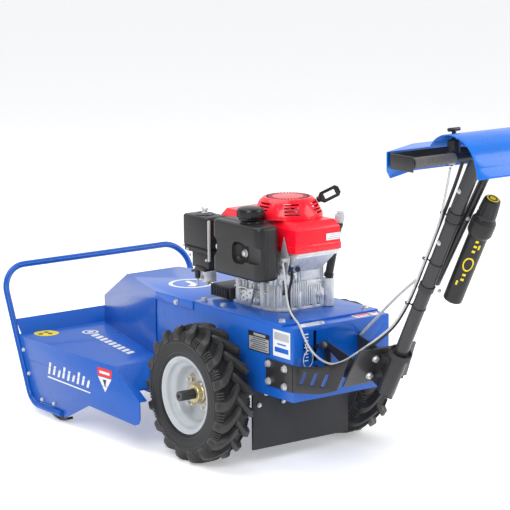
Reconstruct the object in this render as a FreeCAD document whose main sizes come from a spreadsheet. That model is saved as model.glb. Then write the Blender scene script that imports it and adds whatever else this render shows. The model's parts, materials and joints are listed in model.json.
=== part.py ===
import FreeCAD, Part
import math
import os
import re
import Sketcher

# Walk-behind brush mower: a two-wheeled belt-driven machine with the cutting deck in front,
# a vertical-shaft engine over the axle and one steering column at the rear.
# +X runs forward to the deck, +Y to the machine's left, +Z up. The origin is on the ground
# under the middle of the whole machine; the wheel axle stands "axle_x" forward of it.

os.makedirs("parts", exist_ok=True)
doc = FreeCAD.newDocument("BrushMower")
sheet = doc.addObject("Spreadsheet::Sheet", "Sizes")

SIZES = {
    # places shared by everything
    "axle_x": 40.75, "sheet_metal": 4, "running_gap": 0.05, "body_gap": 0.4,
    # wheels: 4.80-8 tyres on 8 inch rims, 16 inches over the lugs
    "wheel_radius": 204, "wheel_y": 266, "rim_flange_radius": 116, "rim_seat_radius": 100,
    "rim_half": 54, "rim_wall": 3, "rim_hole_radius": 32, "disc_y": -4, "lug_circle_radius": 50.8,
    "lug_bolt_radius": 6, "hub_radius": 27, "hub_flange_radius": 66, "axle_radius": 15,
    "axle_half": 339, "axle_groove": 286, "tyre_half": 59, "tyre_bead_radius": 118, "tyre_shoulder_radius": 190,
    "tread_half": 46, "tyre_thickness": 14,
    # chassis box
    "chassis_half": 176, "chassis_rear": -336, "chassis_front": 347, "chassis_low": 226,
    "chassis_top": 438, "ear_half": 58, "ear_low": 166, "axle_hole_radius": 30,
    "plate_rear": -286, "plate_front": 148, "plate_thick": 6, "crank_x": -80,
    # deck
    "deck_top": 237.5, "deck_half": 359, "deck_front": 866, "deck_break": 312, "deck_rear": 176,
    "slope_low": 155, "lip_x": 34, "lip_height": 45, "spindle_x": 500,
    # belt cover
    "cover_bend_x": 625, "cover_bend_y": 99, "nose_x": 864, "nose_y": 32, "nose_z": 326,
    "cover_seam": 150, "cover_metal": 3,
    # front bumper tube
    "bumper_radius": 10, "bumper_x": 965.5, "bumper_z": 443, "bumper_bend": 85,
    "bumper_slope": 0.418, "bumper_low": 28, "bumper_knee": 44, "bumper_end": 614,
    # rear flap
    "flap_x": -146, "flap_thick": 8, "flap_half": 178, "flap_low": 45,
    # drive train
    "blade_belt_z": 345, "drive_belt_z": 305, "crank_pulley_radius": 55,
    "spindle_pulley_radius": 65, "drive_pulley_radius": 32, "input_pulley_radius": 58,
    "input_x": 74, "groove_depth": 8, "belt_half": 5, "shaft_radius": 12.7,
    "idler_x": 130, "idler_y": 140, "idler_z": 360, "idler_pin_radius": 8, "idler_reach": 103,
    "idler_free_angle": 12, "idler_belt_angle": -34.3,
    "spindle_radius": 15, "blade_z": 74, "blade_length": 640, "blade_width": 70,
    # engine
    "engine_low": 444, "base_rear": -160, "base_front": 57, "base_half": 97, "base_high": 524,
    "shroud_rear": -230, "shroud_front": 150, "shroud_half": 84, "shroud_low": 627,
    "shroud_top": 714, "recoil_x": -85, "recoil_low_radius": 103, "recoil_high_radius": 76,
    "recoil_top": 772, "tank_rear": -194, "tank_front": 40, "tank_in": 108, "tank_out": 190,
    "tank_low": 550, "tank_high": 710, "cap_x": -93, "cap_y": 142, "cap_radius": 38,
    "cap_height": 37, "neck_height": 15, "boss_x": -160, "boss_y": -92, "boss_radius": 16,
    "filler_radius": 12, "wing_x": 166, "wing_y": 120,
    # steering column and its bracket; the column leans back by "lean" degrees
    "lean": 27.87, "foot_x": -533, "foot_z": 273, "socket_radius": 26, "socket_length": 126,
    "column_radius": 19.5, "column_low": 20, "column_high": 806, "mount_out": 50,
    "mount_half": 104, "mount_low": -5, "mount_high": 118, "arm_low": 257, "arm_high": 335,
    "arm_thick": 6,
    # handlebar
    "bar_x": -935, "bar_z": 989, "bar_radius": 11, "grip_radius": 14, "grip_in": 112,
    "grip_out": 250, "strap_front": -850, "strap_rear": -948, "strap_out": 262,
    "lever_y": 95, "plunger_x": -917, "lever_travel": 30,
    "strap_low": 967, "strap_height": 40, "strap_thick": 4, "guard_z": 1010, "guard_half": 265,
    "hood_half": 136, "hood_metal": 3,
    # manual canister beside the column
    "can_out": -48, "can_y": -62, "can_low": 356, "can_radius": 27, "can_length": 276,
    "can_cap_length": 58,
}
for row, (alias, number) in enumerate(SIZES.items(), start=1):
    sheet.set("A%d" % row, alias.replace("_", " "))
    sheet.set("B%d" % row, str(number))
    sheet.setAlias("B%d" % row, alias)
doc.recompute()

size = lambda alias: float(getattr(sheet, alias))
V = FreeCAD.Vector
UP, FORWARD, LEFT = V(0, 0, 1), V(1, 0, 0), V(0, 1, 0)
nodes = []


# ---------------------------------------------------------------- helpers for parametric bodies
def formula(text):
    """A formula in the sheet's own names, written the way the expression engine wants it."""
    return re.sub(r"\b([a-z][a-z_]+)\b(?!\()", r"Sizes.\1", str(text))


def new_body(label, x="axle_x", y="0", z="0"):
    body = doc.addObject("PartDesign::Body", label)
    body.Label = label
    for letter, text in zip("xyz", (x, y, z)):
        body.setExpression(".Placement.Base." + letter, formula(text))
    nodes.append(body)
    return body


DIRECTION = {"XY_Plane": 1, "XZ_Plane": -1, "YZ_Plane": 1}


def draw_outline(sketch, corners):
    """One closed outline whose every corner is held by two dimensions."""
    count, first = len(corners), sketch.GeometryCount
    turn = 2 * math.pi / count
    ring = [V(40 * math.cos(turn * i), 40 * math.sin(turn * i), 0) for i in range(count)]
    for i in range(count):
        sketch.addGeometry(Part.LineSegment(ring[i], ring[(i + 1) % count]), False)
    for i in range(count):
        after = first + (i + 1) % count
        sketch.addConstraint(Sketcher.Constraint("Coincident", first + i, 2, after, 1))
    for i, corner in enumerate(corners):
        for kind, text, now in zip(("DistanceX", "DistanceY"), corner, (ring[i].x, ring[i].y)):
            number = sketch.addConstraint(Sketcher.Constraint(kind, first + i, 1, now))
            sketch.setExpression("Constraints[%d]" % number, formula(text))


def draw_circle(sketch, x, y, radius):
    first = sketch.addGeometry(Part.Circle(V(1, 1, 0), UP, 5), False)
    for kind, text, now in (("DistanceX", x, 1), ("DistanceY", y, 1)):
        number = sketch.addConstraint(Sketcher.Constraint(kind, first, 3, now))
        sketch.setExpression("Constraints[%d]" % number, formula(text))
    number = sketch.addConstraint(Sketcher.Constraint("Radius", first, 5))
    sketch.setExpression("Constraints[%d]" % number, formula(radius))


def new_sketch(body, plane, shapes, start="0"):
    """Sketch on the body's own plane, moved to "start" along that plane's row axis."""
    sketch = body.newObject("Sketcher::SketchObject", body.Label + "_sketch")
    base = next(f for f in body.Origin.OriginFeatures if f.Role == plane)
    sketch.AttachmentSupport = (base, [""])
    sketch.MapMode = "FlatFace"
    offset = "%d * (%s)" % (DIRECTION[plane], start)
    sketch.setExpression(".AttachmentOffset.Base.z", formula(offset))
    for shape in shapes:
        if shape[0] == "circle":
            draw_circle(sketch, *shape[1:])
        else:
            draw_outline(sketch, shape)
    return sketch


def extrude(body, plane, shapes, start, length, cut=False):
    """Pad or pocket from "start" towards the positive row axis; returns the feature."""
    sketch = new_sketch(body, plane, shapes, start)
    feature = body.newObject("PartDesign::Pocket" if cut else "PartDesign::Pad", "extrude")
    feature.Profile = sketch
    feature.setExpression("Length", formula(length))
    feature.Reversed = (DIRECTION[plane] < 0) != cut
    return feature


def pad(body, plane, shapes, start, length):
    return extrude(body, plane, shapes, start, length)


def pocket(body, plane, shapes, start, length):
    """Cut, and make sure that it removes something."""
    doc.recompute()
    before = body.Shape.Volume
    feature = extrude(body, plane, shapes, start, length, cut=True)
    doc.recompute()
    if not body.Shape.Volume < before - 1:
        raise RuntimeError("a pocket in %s cuts nothing" % body.Label)
    return feature


def revolve(body, plane, corners, cut=False):
    """Turn an outline about the sketch's upright axis."""
    kind = "PartDesign::Groove" if cut else "PartDesign::Revolution"
    sketch = new_sketch(body, plane, [corners])
    feature = body.newObject(kind, "turned")
    feature.Profile = sketch
    feature.ReferenceAxis = (sketch, ["V_Axis"])
    feature.Angle = 360
    return feature


def round_edges(body, radius, choose):
    """Fillet the edges of the body's tip that "choose" picks."""
    doc.recompute()
    base = body.Tip
    names = ["Edge%d" % (i + 1) for i, edge in enumerate(base.Shape.Edges) if choose(edge)]
    fillet = body.newObject("PartDesign::Fillet", "fillet")
    fillet.Base = (base, names)
    fillet.Radius = radius
    doc.recompute()
    if "Invalid" in fillet.State or not fillet.Shape.isValid():
        raise RuntimeError("fillet failed in " + body.Label)


def along(axis):
    """Test for straight edges that run along an axis."""
    def choose(edge):
        if not isinstance(edge.Curve, Part.Line):
            return False
        return edge.tangentAt(edge.FirstParameter).cross(axis).Length < 1e-6
    return choose


def box_outline(x_low, x_high, y_low, y_high):
    return [(x_low, y_low), (x_high, y_low), (x_high, y_high), (x_low, y_high)]


# ---------------------------------------------------------------- helpers for shaped features
def feature(label, shapes):
    """A piece whose form is neither a pad nor a turning: tubes, bent strips, fastener groups."""
    solids = [solid for shape in shapes for solid in shape.Solids]
    node = doc.addObject("Part::Feature", label)
    node.Label = label
    node.Shape = solids[0] if len(solids) == 1 else Part.makeCompound(solids)
    node.Placement = FreeCAD.Placement(V(size("axle_x"), 0, 0), FreeCAD.Rotation())
    nodes.append(node)
    return node


def rod(start, end, radius, bore=0.0):
    """Round bar or tube between two points."""
    line = end - start
    solid = Part.makeCylinder(radius, line.Length, start, line)
    return solid.cut(Part.makeCylinder(bore, line.Length, start, line)) if bore else solid


def block(x_low, x_high, y_low, y_high, z_low, z_high):
    return Part.makeBox(x_high - x_low, y_high - y_low, z_high - z_low, V(x_low, y_low, z_low))


def slab(corners, thickness):
    """Flat plate: a closed outline in space, thickened by a vector."""
    return Part.Face(Part.makePolygon(corners + corners[:1])).extrude(thickness)


def bolt(seat, axis, radius=5.0, shank=8.0):
    """Hexagon head with washer on a surface, and a short shank into it."""
    axis = V(axis).normalize()
    washer = Part.makeCylinder(radius * 2.2, 1.6, seat, axis)
    side = axis.cross(V(0.3, 0.5, 0.8)).normalize() * radius * 1.9
    corners = [seat + FreeCAD.Rotation(axis, 60 * i).multVec(side) for i in range(6)]
    head = slab(corners, axis * (1.6 + radius * 1.3))
    stem = Part.makeCylinder(radius, shank, seat - axis * shank, axis)
    return washer.fuse([head, stem]).removeSplitter()


def cord_path(points):
    """Straight runs joined by tangent arcs, each as large as its two runs allow."""
    edges, here, radii = [], points[0], []
    for before, corner, after in zip(points, points[1:], points[2:]):
        into = (corner - before).normalize()
        away = (after - corner).normalize()
        turn = into.getAngle(away)
        reach = 0.45 * min((corner - before).Length, (after - corner).Length)
        start, end = corner - into * reach, corner + away * reach
        radii.append(reach / math.tan(turn / 2))
        middle_way = (away - into).normalize()
        middle = corner + middle_way * (radii[-1] / math.cos(turn / 2) - radii[-1])
        edges += [Part.LineSegment(here, start).toShape(), Part.Arc(start, middle, end).toShape()]
        here = end
    edges.append(Part.LineSegment(here, points[-1]).toShape())
    return Part.Wire(edges), radii


def swept(wire, radius, bore=0.0):
    """Round bar or tube along a path."""
    first = wire.Edges[0]
    start, way = first.valueAt(first.FirstParameter), first.tangentAt(first.FirstParameter)
    ring = Part.Wire(Part.makeCircle(radius, start, way))
    solid = wire.makePipeShell([ring], True, True)
    if bore:
        inner = Part.Wire(Part.makeCircle(bore, start, way))
        solid = solid.cut(wire.makePipeShell([inner], True, True))
    return solid


def cord(label, points, radius):
    wire, radii = cord_path([V(*point) for point in points])
    solid = swept(wire, radius)
    error = solid.Volume / (math.pi * radius ** 2 * wire.Length) - 1
    print("%s: length %.0f, tightest bend %.0f, volume off by %.3f" %
          (label, wire.Length, min(radii), error))
    return feature(label, [solid])


# ---------------------------------------------------------------- wheels and axle
def wheel_body(label, side):
    body = new_body(label, "axle_x", "%d * wheel_y" % side, "wheel_radius")
    return body


def make_tyre(label, side):
    """Agricultural tyre casing, open towards the rim."""
    body = wheel_body(label, side)
    inner = "tyre_half - tyre_thickness / 2"
    half = [("rim_seat_radius + 5", "rim_half - 6"), ("tyre_bead_radius", "rim_half - 4"),
            ("tyre_bead_radius + 12", "tyre_half - 1"),
            ("(tyre_bead_radius + tyre_shoulder_radius) / 2", "tyre_half"),
            ("tyre_shoulder_radius - 6", "tyre_half - 2"),
            ("wheel_radius - 5", "tread_half + 3"), ("wheel_radius", "tread_half - 8")]
    hollow = [("wheel_radius - tyre_thickness", "tread_half - 10"),
              ("tyre_shoulder_radius - 12", inner), ("tyre_bead_radius + 14", inner),
              ("rim_seat_radius + 5", "rim_half - 14")]
    mirrored = lambda points: [(r, "-(%s)" % y) for r, y in reversed(points)]
    revolve(body, "XY_Plane", half + mirrored(half) + mirrored(hollow) + hollow)
    return body


def make_rim(label, side):
    """Pressed steel rim with flanges, drop centre and a dished disc with four bolt holes."""
    body = wheel_body(label, side)
    wall = "rim_wall"
    outer = [("rim_flange_radius", "-rim_half"), ("rim_flange_radius", "-rim_half + rim_wall"),
             ("rim_seat_radius + rim_wall", "-rim_half + 6"), ("rim_seat_radius + rim_wall", "-24"),
             ("rim_seat_radius - 14", "-16"), ("rim_seat_radius - 14", "16"),
             ("rim_seat_radius + rim_wall", "24"), ("rim_seat_radius + rim_wall", "rim_half - 6"),
             ("rim_flange_radius", "rim_half - rim_wall"), ("rim_flange_radius", "rim_half")]
    inner = [("rim_seat_radius", "rim_half"), ("rim_seat_radius", "26"),
             ("rim_seat_radius - 14 - rim_wall", "18"),
             ("rim_seat_radius - 14 - rim_wall", "-18"), ("rim_seat_radius", "-26"),
             ("rim_seat_radius", "-rim_half")]
    revolve(body, "XY_Plane", outer + inner)
    doc.recompute()
    low = "%d * disc_y - 2" % side
    pad(body, "XZ_Plane", [("circle", "0", "0", "rim_seat_radius - 15"),
                           ("circle", "0", "0", "rim_hole_radius")], low, "4")
    holes = []
    for quarter in range(4):
        angle = "%d" % (45 + 90 * quarter)
        holes.append(("circle", "lug_circle_radius * cos(%s)" % angle,
                      "lug_circle_radius * sin(%s)" % angle, "lug_bolt_radius + 0.5"))
    pocket(body, "XZ_Plane", holes, low + " - 5", "15")
    return body


def make_hubs():
    """Cast hub on each axle end, with the four lug studs and nuts that hold the rim."""
    shapes = []
    axle_z, bore = size("wheel_radius"), size("axle_radius")
    for side in (-1, 1):
        disc = side * size("wheel_y") + side * size("disc_y")
        inside, outside = disc - side * 2, disc + side * 2
        hub = rod(V(0, side * 205, axle_z), V(0, disc + side * 22, axle_z), size("hub_radius"))
        hub = hub.fuse(rod(V(0, inside - side * 9, axle_z), V(0, inside, axle_z),
                           size("hub_flange_radius")))
        bar = rod(V(0, 0, axle_z), V(0, side * 400, axle_z), bore)
        shapes.append(hub.cut(bar))
        for quarter in range(4):
            angle = math.radians(45 + 90 * quarter)
            reach = size("lug_circle_radius")
            x, z = reach * math.cos(angle), axle_z + reach * math.sin(angle)
            shapes.append(bolt(V(x, outside, z), V(0, side, 0), size("lug_bolt_radius"), 4))
    return feature("wheel_hubs", shapes)


def make_axle():
    """One through axle with a ring groove beside each hub and centre-drilled ends."""
    body = new_body("axle_shaft", "axle_x", "0", "wheel_radius")
    right = [("0", "axle_half"), ("axle_radius - 2", "axle_half"), ("axle_radius", "axle_half - 2"),
             ("axle_radius", "axle_groove + 4"), ("axle_radius - 2", "axle_groove + 4"),
             ("axle_radius - 2", "axle_groove"), ("axle_radius", "axle_groove")]
    left = [(r, "-(%s)" % y) for r, y in reversed(right)]
    revolve(body, "XY_Plane", right + left)
    for start in ("-axle_half - 1", "axle_half - 14"):
        pocket(body, "XZ_Plane", [("circle", "0", "0", "4.5")], start, "15")
    return body


make_axle()
make_hubs()
for name, side in (("left", 1), ("right", -1)):
    make_rim("rim_" + name, side)
    make_tyre("tyre_" + name, side)


# ---------------------------------------------------------------- chassis and deck
def make_chassis():
    """Folded and welded box, open in front to the belt tunnel, with ears for the axle."""
    body = new_body("chassis_shell")
    side = [("chassis_rear", "chassis_low"), ("-ear_half - 18", "chassis_low"),
            ("-ear_half", "ear_low"), ("ear_half", "ear_low"), ("ear_half + 18", "chassis_low"),
            ("293", "chassis_low"), ("deck_break", "deck_top"), ("chassis_front", "deck_top"),
            ("chassis_front", "chassis_top"), ("chassis_rear", "chassis_top")]
    pad(body, "XZ_Plane", [side], "-chassis_half", "2 * chassis_half")
    inside, width = "-chassis_half + sheet_metal", "2 * (chassis_half - sheet_metal)"
    room = box_outline("chassis_rear + sheet_metal", "chassis_front + 5",
                       "chassis_low + sheet_metal", "chassis_top - sheet_metal")
    pocket(body, "XZ_Plane", [room], inside, width)
    between_ears = box_outline("-120", "130", "ear_low - 5", "chassis_low + sheet_metal + 1")
    pocket(body, "XZ_Plane", [between_ears], inside, width)
    top_opening = box_outline("plate_rear + 12", "chassis_front + 5", "-chassis_half + 22",
                              "chassis_half - 22")
    pocket(body, "XY_Plane", [top_opening], "chassis_top - 10", "20")
    pocket(body, "XZ_Plane", [("circle", "0", "wheel_radius", "axle_hole_radius")],
           "-chassis_half - 5", "2 * chassis_half + 10")
    rear_holes = [box_outline("91", "103", "338", "426"), box_outline("130", "139", "372", "396"),
                  box_outline("-76", "-65", "374", "400"), ("circle", "-101", "355", "4")]
    pocket(body, "YZ_Plane", rear_holes, "chassis_rear - 5", "20")
    return body


def make_engine_plate():
    body = new_body("engine_plate")
    plate = box_outline("plate_rear", "plate_front", "-chassis_half - 1", "chassis_half + 1")
    pad(body, "XY_Plane", [plate, ("circle", "crank_x", "0", "34")], "chassis_top", "plate_thick")
    pin = ("circle", "idler_x", "idler_y", "idler_pin_radius")
    pad(body, "XY_Plane", [pin], "idler_z - 26", "chassis_top - idler_z + 27")
    return body


def make_deck():
    """Deck top with its rear slope and the raised front lip, one folded sheet."""
    body = new_body("deck_top")
    section = [("deck_rear", "slope_low"), ("deck_break", "deck_top"), ("deck_front", "deck_top"),
               ("deck_front + lip_x", "deck_top + lip_height"),
               ("deck_front + lip_x + 3.2", "deck_top + lip_height - 2.4"),
               ("deck_front + 1.6", "deck_top - sheet_metal"),
               ("deck_break + 1.1", "deck_top - sheet_metal"),
               ("deck_rear + 2.1", "slope_low - 3.4")]
    inner_half = "deck_half - sheet_metal"
    pad(body, "XZ_Plane", [section], "-(%s)" % inner_half, "2 * (%s)" % inner_half)
    pocket(body, "XY_Plane", [("circle", "spindle_x", "0", "48")], "deck_top - 10", "20")
    beside_legs = box_outline("deck_front + 2", "deck_front + 60", "deck_top - 10", "deck_top + 60")
    pocket(body, "XZ_Plane", [beside_legs], "deck_half - 12", "20")
    pocket(body, "XZ_Plane", [beside_legs], "-deck_half - 8", "20")
    for low, high in (("wheel_y - 70", "wheel_y + 66"), ("-wheel_y - 66", "-wheel_y + 70")):
        pocket(body, "XY_Plane", [box_outline("deck_rear - 5", "218", low, high)], "140", "60")
    return body


def bumper_leg(height):
    """Point on the leaning left leg of the bumper tube."""
    x = size("bumper_x") - size("bumper_slope") * (size("bumper_z") - height)
    return V(x, size("deck_half"), height)


def make_side_plates():
    """Deck side plates with their notched lower edge."""
    front = lambda z: bumper_leg(z).x - size("bumper_radius") - 1.5
    high, rear, skin = size("deck_top"), size("deck_rear"), size("sheet_metal")
    shapes = []
    for side in (-1, 1):
        y = side * size("deck_half")
        over_tube = size("bumper_low") + size("bumper_radius") + 1
        outline = [(front(high), high), (front(84), 84), (front(84) - 16, 58),
                   (front(84) - 46, over_tube), (608, over_tube), (603, 20), (593, 20),
                   (457, 86), (204, 76), (184, 84), (rear, 100),
                   (rear, size("slope_low")), (size("deck_break"), high)]
        plate = slab([V(x, y, z) for x, z in outline], V(0, -side * skin, 0))
        shapes.append(plate)
    return feature("side_plates", shapes)


def make_skids():
    """Half-round skid shoes inside the side plates; the deck rests on them."""
    shapes = []
    middle, radius, thick, span = 648.0, 120.0, 8.0, math.radians(24)
    inner = size("deck_half") - size("sheet_metal")
    for side in (-1, 1):
        y = side * (inner - 8)
        ends = [V(middle + radius * math.sin(a), y, radius - radius * math.cos(a))
                for a in (-span, 0, span)]
        inside = [p + (V(middle, y, radius) - p) * (thick / radius) for p in ends]
        edges = [Part.Arc(*ends).toShape(), Part.LineSegment(ends[2], inside[2]).toShape(),
                 Part.Arc(*reversed(inside)).toShape(),
                 Part.LineSegment(inside[0], ends[0]).toShape()]
        shoe = Part.Face(Part.Wire(edges)).extrude(V(0, -side * 20, 0))
        web = slab([V(x, y, z) for x, z in ((610, 10), (686, 10), (680, 88), (616, 88))],
                   V(0, -side * 6, 0))
        spacer = slab([V(x, y, z) for x, z in ((618, 46), (678, 46), (678, 86), (618, 86))],
                      V(0, side * 8, 0))
        shapes.append(shoe.fuse([web, spacer]).removeSplitter())
    return feature("skid_shoes", shapes)


def make_cover():
    """Belt cover: flat top, tapering sides and a sloping nose, all 3 mm sheet."""
    def block_of(inset):
        top = size("chassis_top") + 3 - inset
        rear, low = size("cover_seam") - inset, size("deck_top")
        break_x, half = size("chassis_front") + 1, size("chassis_half") + 3 - inset
        bend_x, bend_y = size("cover_bend_x"), size("cover_bend_y") - inset
        nose_x, nose_y = size("nose_x") - inset, size("nose_y") - inset
        nose_z = size("nose_z") - inset
        lip = size("chassis_top") - 22
        roof = slab([V(rear, -half, lip), V(break_x, -half, lip), V(break_x, half, lip),
                     V(rear, half, lip)], V(0, 0, top - lip))
        plan = [V(break_x - 1, -half, low), V(bend_x, -bend_y, low), V(nose_x, -nose_y, low),
                V(nose_x, nose_y, low), V(bend_x, bend_y, low), V(break_x - 1, half, low)]
        tunnel = slab(plan, V(0, 0, top - low))
        above = [V(bend_x, 0, top), V(nose_x, 0, nose_z), V(nose_x + 50, 0, nose_z),
                 V(nose_x + 50, 0, top + 50), V(bend_x, 0, top + 50)]
        wedge = slab([corner + V(0, -200, 0) for corner in above], V(0, 400, 0))
        return roof.fuse(tunnel).cut(wedge).removeSplitter()
    inner = block_of(size("cover_metal"))
    cover = block_of(0).cut(inner)
    low, top = size("deck_top"), size("chassis_top")
    cover = cover.cut(block(140, 349, -200, 200, low - 1, top - 21.9))
    cover = cover.cut(block(140, 349, -176, 176, low - 1, top))
    solids = sorted(cover.Solids, key=lambda solid: solid.Volume)
    return feature("belt_cover", [solids[-1]])


def make_bumper():
    """Front guard: one bent tube from skirt to skirt over the deck's mouth."""
    x, z, bend = size("bumper_x"), size("bumper_z"), size("bumper_bend")
    y, foot_z, knee = size("deck_half"), size("bumper_low"), size("bumper_knee")
    corner, shoulder = bumper_leg(foot_z), bumper_leg(z)
    way = (shoulder - corner).normalize()
    points = [V(size("bumper_end"), y, foot_z), corner - V(knee, 0, 0), corner + way * knee,
              shoulder - way * bend, V(x, y - bend, z)]

    def arc_between(start, corner_point, end):
        into, away = (corner_point - start).normalize(), (end - corner_point).normalize()
        turn = into.getAngle(away)
        reach = (corner_point - start).Length
        bend_radius = reach / math.tan(turn / 2)
        toward = (away - into).normalize()
        return corner_point + toward * (bend_radius / math.cos(turn / 2) - bend_radius)
    mirror = lambda p: V(p.x, -p.y, p.z)
    low_mid = arc_between(points[1], corner, points[2])
    high_mid = arc_between(points[3], shoulder, points[4])
    left = [Part.LineSegment(points[0], points[1]).toShape(),
            Part.Arc(points[1], low_mid, points[2]).toShape(),
            Part.LineSegment(points[2], points[3]).toShape(),
            Part.Arc(points[3], high_mid, points[4]).toShape()]
    top = [Part.LineSegment(points[4], mirror(points[4])).toShape()]
    right = [Part.Arc(mirror(points[4]), mirror(high_mid), mirror(points[3])).toShape(),
             Part.LineSegment(mirror(points[3]), mirror(points[2])).toShape(),
             Part.Arc(mirror(points[2]), mirror(low_mid), mirror(points[1])).toShape(),
             Part.LineSegment(mirror(points[1]), mirror(points[0])).toShape()]
    wire = Part.Wire(left + top + right)
    return feature("front_bumper", [swept(wire, size("bumper_radius"))])


def make_flap():
    body = new_body("rear_flap")
    flap = box_outline("-flap_half", "flap_half", "flap_low", "chassis_low")
    pad(body, "YZ_Plane", [flap], "flap_x", "flap_thick")
    return body


make_chassis()
make_engine_plate()
make_deck()
make_side_plates()
make_skids()
make_cover()
make_bumper()
make_flap()


# ---------------------------------------------------------------- drive train
def make_gearbox():
    """Gearbox on the axle; its input shaft points up."""
    body = new_body("gearbox")
    pad(body, "XZ_Plane", [box_outline("-62", "104", "168", "252")], "-62", "124")
    pad(body, "XZ_Plane", [("circle", "0", "wheel_radius", "34")], "-120", "240")
    pocket(body, "XZ_Plane", [("circle", "0", "wheel_radius", "axle_radius + running_gap")],
           "-130", "260")
    pocket(body, "XY_Plane", [("circle", "input_x", "0", "9 + running_gap")], "222", "60")
    round_edges(body, 8, along(UP))
    return body


def make_bearings():
    """Flanged axle bearings on the ears, and the two spindle bearings in their housing."""
    shapes = []
    axle_z, bore = size("wheel_radius"), size("axle_radius") + size("running_gap")
    for side in (-1, 1):
        wall = side * (size("chassis_half") - size("sheet_metal"))
        ring = rod(V(0, wall - side * 22, axle_z), V(0, wall, axle_z), 42, bore)
        boss = rod(V(0, wall, axle_z), V(0, wall + side * 10, axle_z),
                   size("axle_hole_radius") - 0.2, bore)
        shapes.append(ring.fuse(boss).removeSplitter())
    x, bore = size("spindle_x"), size("spindle_radius") + size("running_gap")
    for low in (140, 252):
        shapes.append(rod(V(x, 0, low), V(x, 0, low + 18), 31, bore))
    return feature("bearings", shapes)


def make_spindle_housing():
    """Blade spindle housing, flanged to the deck from above, with seats for two bearings."""
    body = new_body("spindle_housing", "axle_x + spindle_x")
    revolve(body, "XZ_Plane", [("31", "140"), ("40", "140"), ("40", "deck_top"),
                               ("78", "deck_top"), ("78", "deck_top + 10"), ("44", "deck_top + 14"),
                               ("38", "270"), ("31", "270"), ("31", "252"), ("24", "252"),
                               ("24", "158"), ("31", "158")])
    return body


def vee_pulley(label, x, radius, height, bore):
    """V-belt pulley, turned, with its groove at the belt's height."""
    body = new_body(label, "axle_x + %s" % x)
    rim = "%s + 3" % radius
    floor = "%s - groove_depth" % radius
    revolve(body, "XZ_Plane", [(bore, "%s - 11" % height), (rim, "%s - 11" % height),
                               (rim, "%s - 8" % height), (floor, "%s - 4" % height),
                               (floor, "%s + 4" % height), (rim, "%s + 8" % height),
                               (rim, "%s + 11" % height), (bore, "%s + 11" % height)])
    return body


def belt(x_a, radius_a, x_b, radius_b, height):
    """V-belt round two pulleys of different size, a hair clear of both grooves."""
    half, depth, clear = size("belt_half"), size("groove_depth"), 1.0
    span = x_b - x_a
    def loop(grow):
        a, b = radius_a - depth + grow, radius_b - depth + grow
        tilt = math.asin((a - b) / span)
        up_a = V(x_a + a * math.sin(tilt), a * math.cos(tilt), 0)
        up_b = V(x_b + b * math.sin(tilt), b * math.cos(tilt), 0)
        down = lambda p: V(p.x, -p.y, 0)
        edges = [Part.LineSegment(up_a, up_b).toShape(),
                 Part.Arc(up_b, V(x_b + b, 0, 0), down(up_b)).toShape(),
                 Part.LineSegment(down(up_b), down(up_a)).toShape(),
                 Part.Arc(down(up_a), V(x_a - a, 0, 0), up_a).toShape()]
        return Part.Face(Part.Wire(edges))
    ring = loop(clear + 7).cut(loop(clear))
    ring.translate(V(0, 0, height - 3))
    return ring.extrude(V(0, 0, 6))


def make_belts():
    blade_belt = belt(size("crank_x"), size("crank_pulley_radius"), size("spindle_x"),
                      size("spindle_pulley_radius"), size("blade_belt_z"))
    drive_belt = belt(size("crank_x"), size("drive_pulley_radius"), size("input_x"),
                      size("input_pulley_radius"), size("drive_belt_z"))
    return feature("vee_belts", [blade_belt, drive_belt])


def make_crank_train():
    """Crankshaft from the double pulley up to the flywheel."""
    shaft = new_body("crankshaft", "axle_x + crank_x")
    revolve(shaft, "XZ_Plane", [("0", "292"), ("shaft_radius", "292"), ("shaft_radius", "736"),
                                ("0", "736")])
    body = new_body("crank_pulley", "axle_x + crank_x")
    def groove(radius, height):
        rim, floor = "%s + 3" % radius, "%s - groove_depth" % radius
        return [(rim, "%s - 9" % height), (floor, "%s - 4" % height), (floor, "%s + 4" % height),
                (rim, "%s + 9" % height)]
    drive = groove("drive_pulley_radius", "drive_belt_z")
    blade = groove("crank_pulley_radius", "blade_belt_z")
    revolve(body, "XZ_Plane", [("shaft_radius", "294")] + [(drive[0][0], "294")] + drive +
            [(drive[0][0], "blade_belt_z - 13"), (blade[0][0], "blade_belt_z - 13")] + blade +
            [(blade[0][0], "blade_belt_z + 12"), ("24", "blade_belt_z + 12"), ("24", "372"),
             ("shaft_radius", "372")])
    wheel = new_body("flywheel", "axle_x + crank_x")
    revolve(wheel, "XZ_Plane", [("shaft_radius", "684"), ("78", "684"), ("78", "700"),
                                ("72", "704"), ("72", "707"), ("24", "707"), ("24", "728"),
                                ("shaft_radius", "728")])
    fin = box_outline("40", "70", "-1.5", "1.5")
    pad(wheel, "XY_Plane", [fin], "706", "20")
    doc.recompute()
    pattern = wheel.newObject("PartDesign::PolarPattern", "fins")
    pattern.Originals = [wheel.Tip if wheel.Tip != pattern else wheel.Group[-2]]
    pattern.Axis = (wheel.Group[2], ["N_Axis"])
    pattern.Angle = 360
    pattern.Occurrences = 16
    wheel.Tip = pattern
    return shaft, body, wheel


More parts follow.
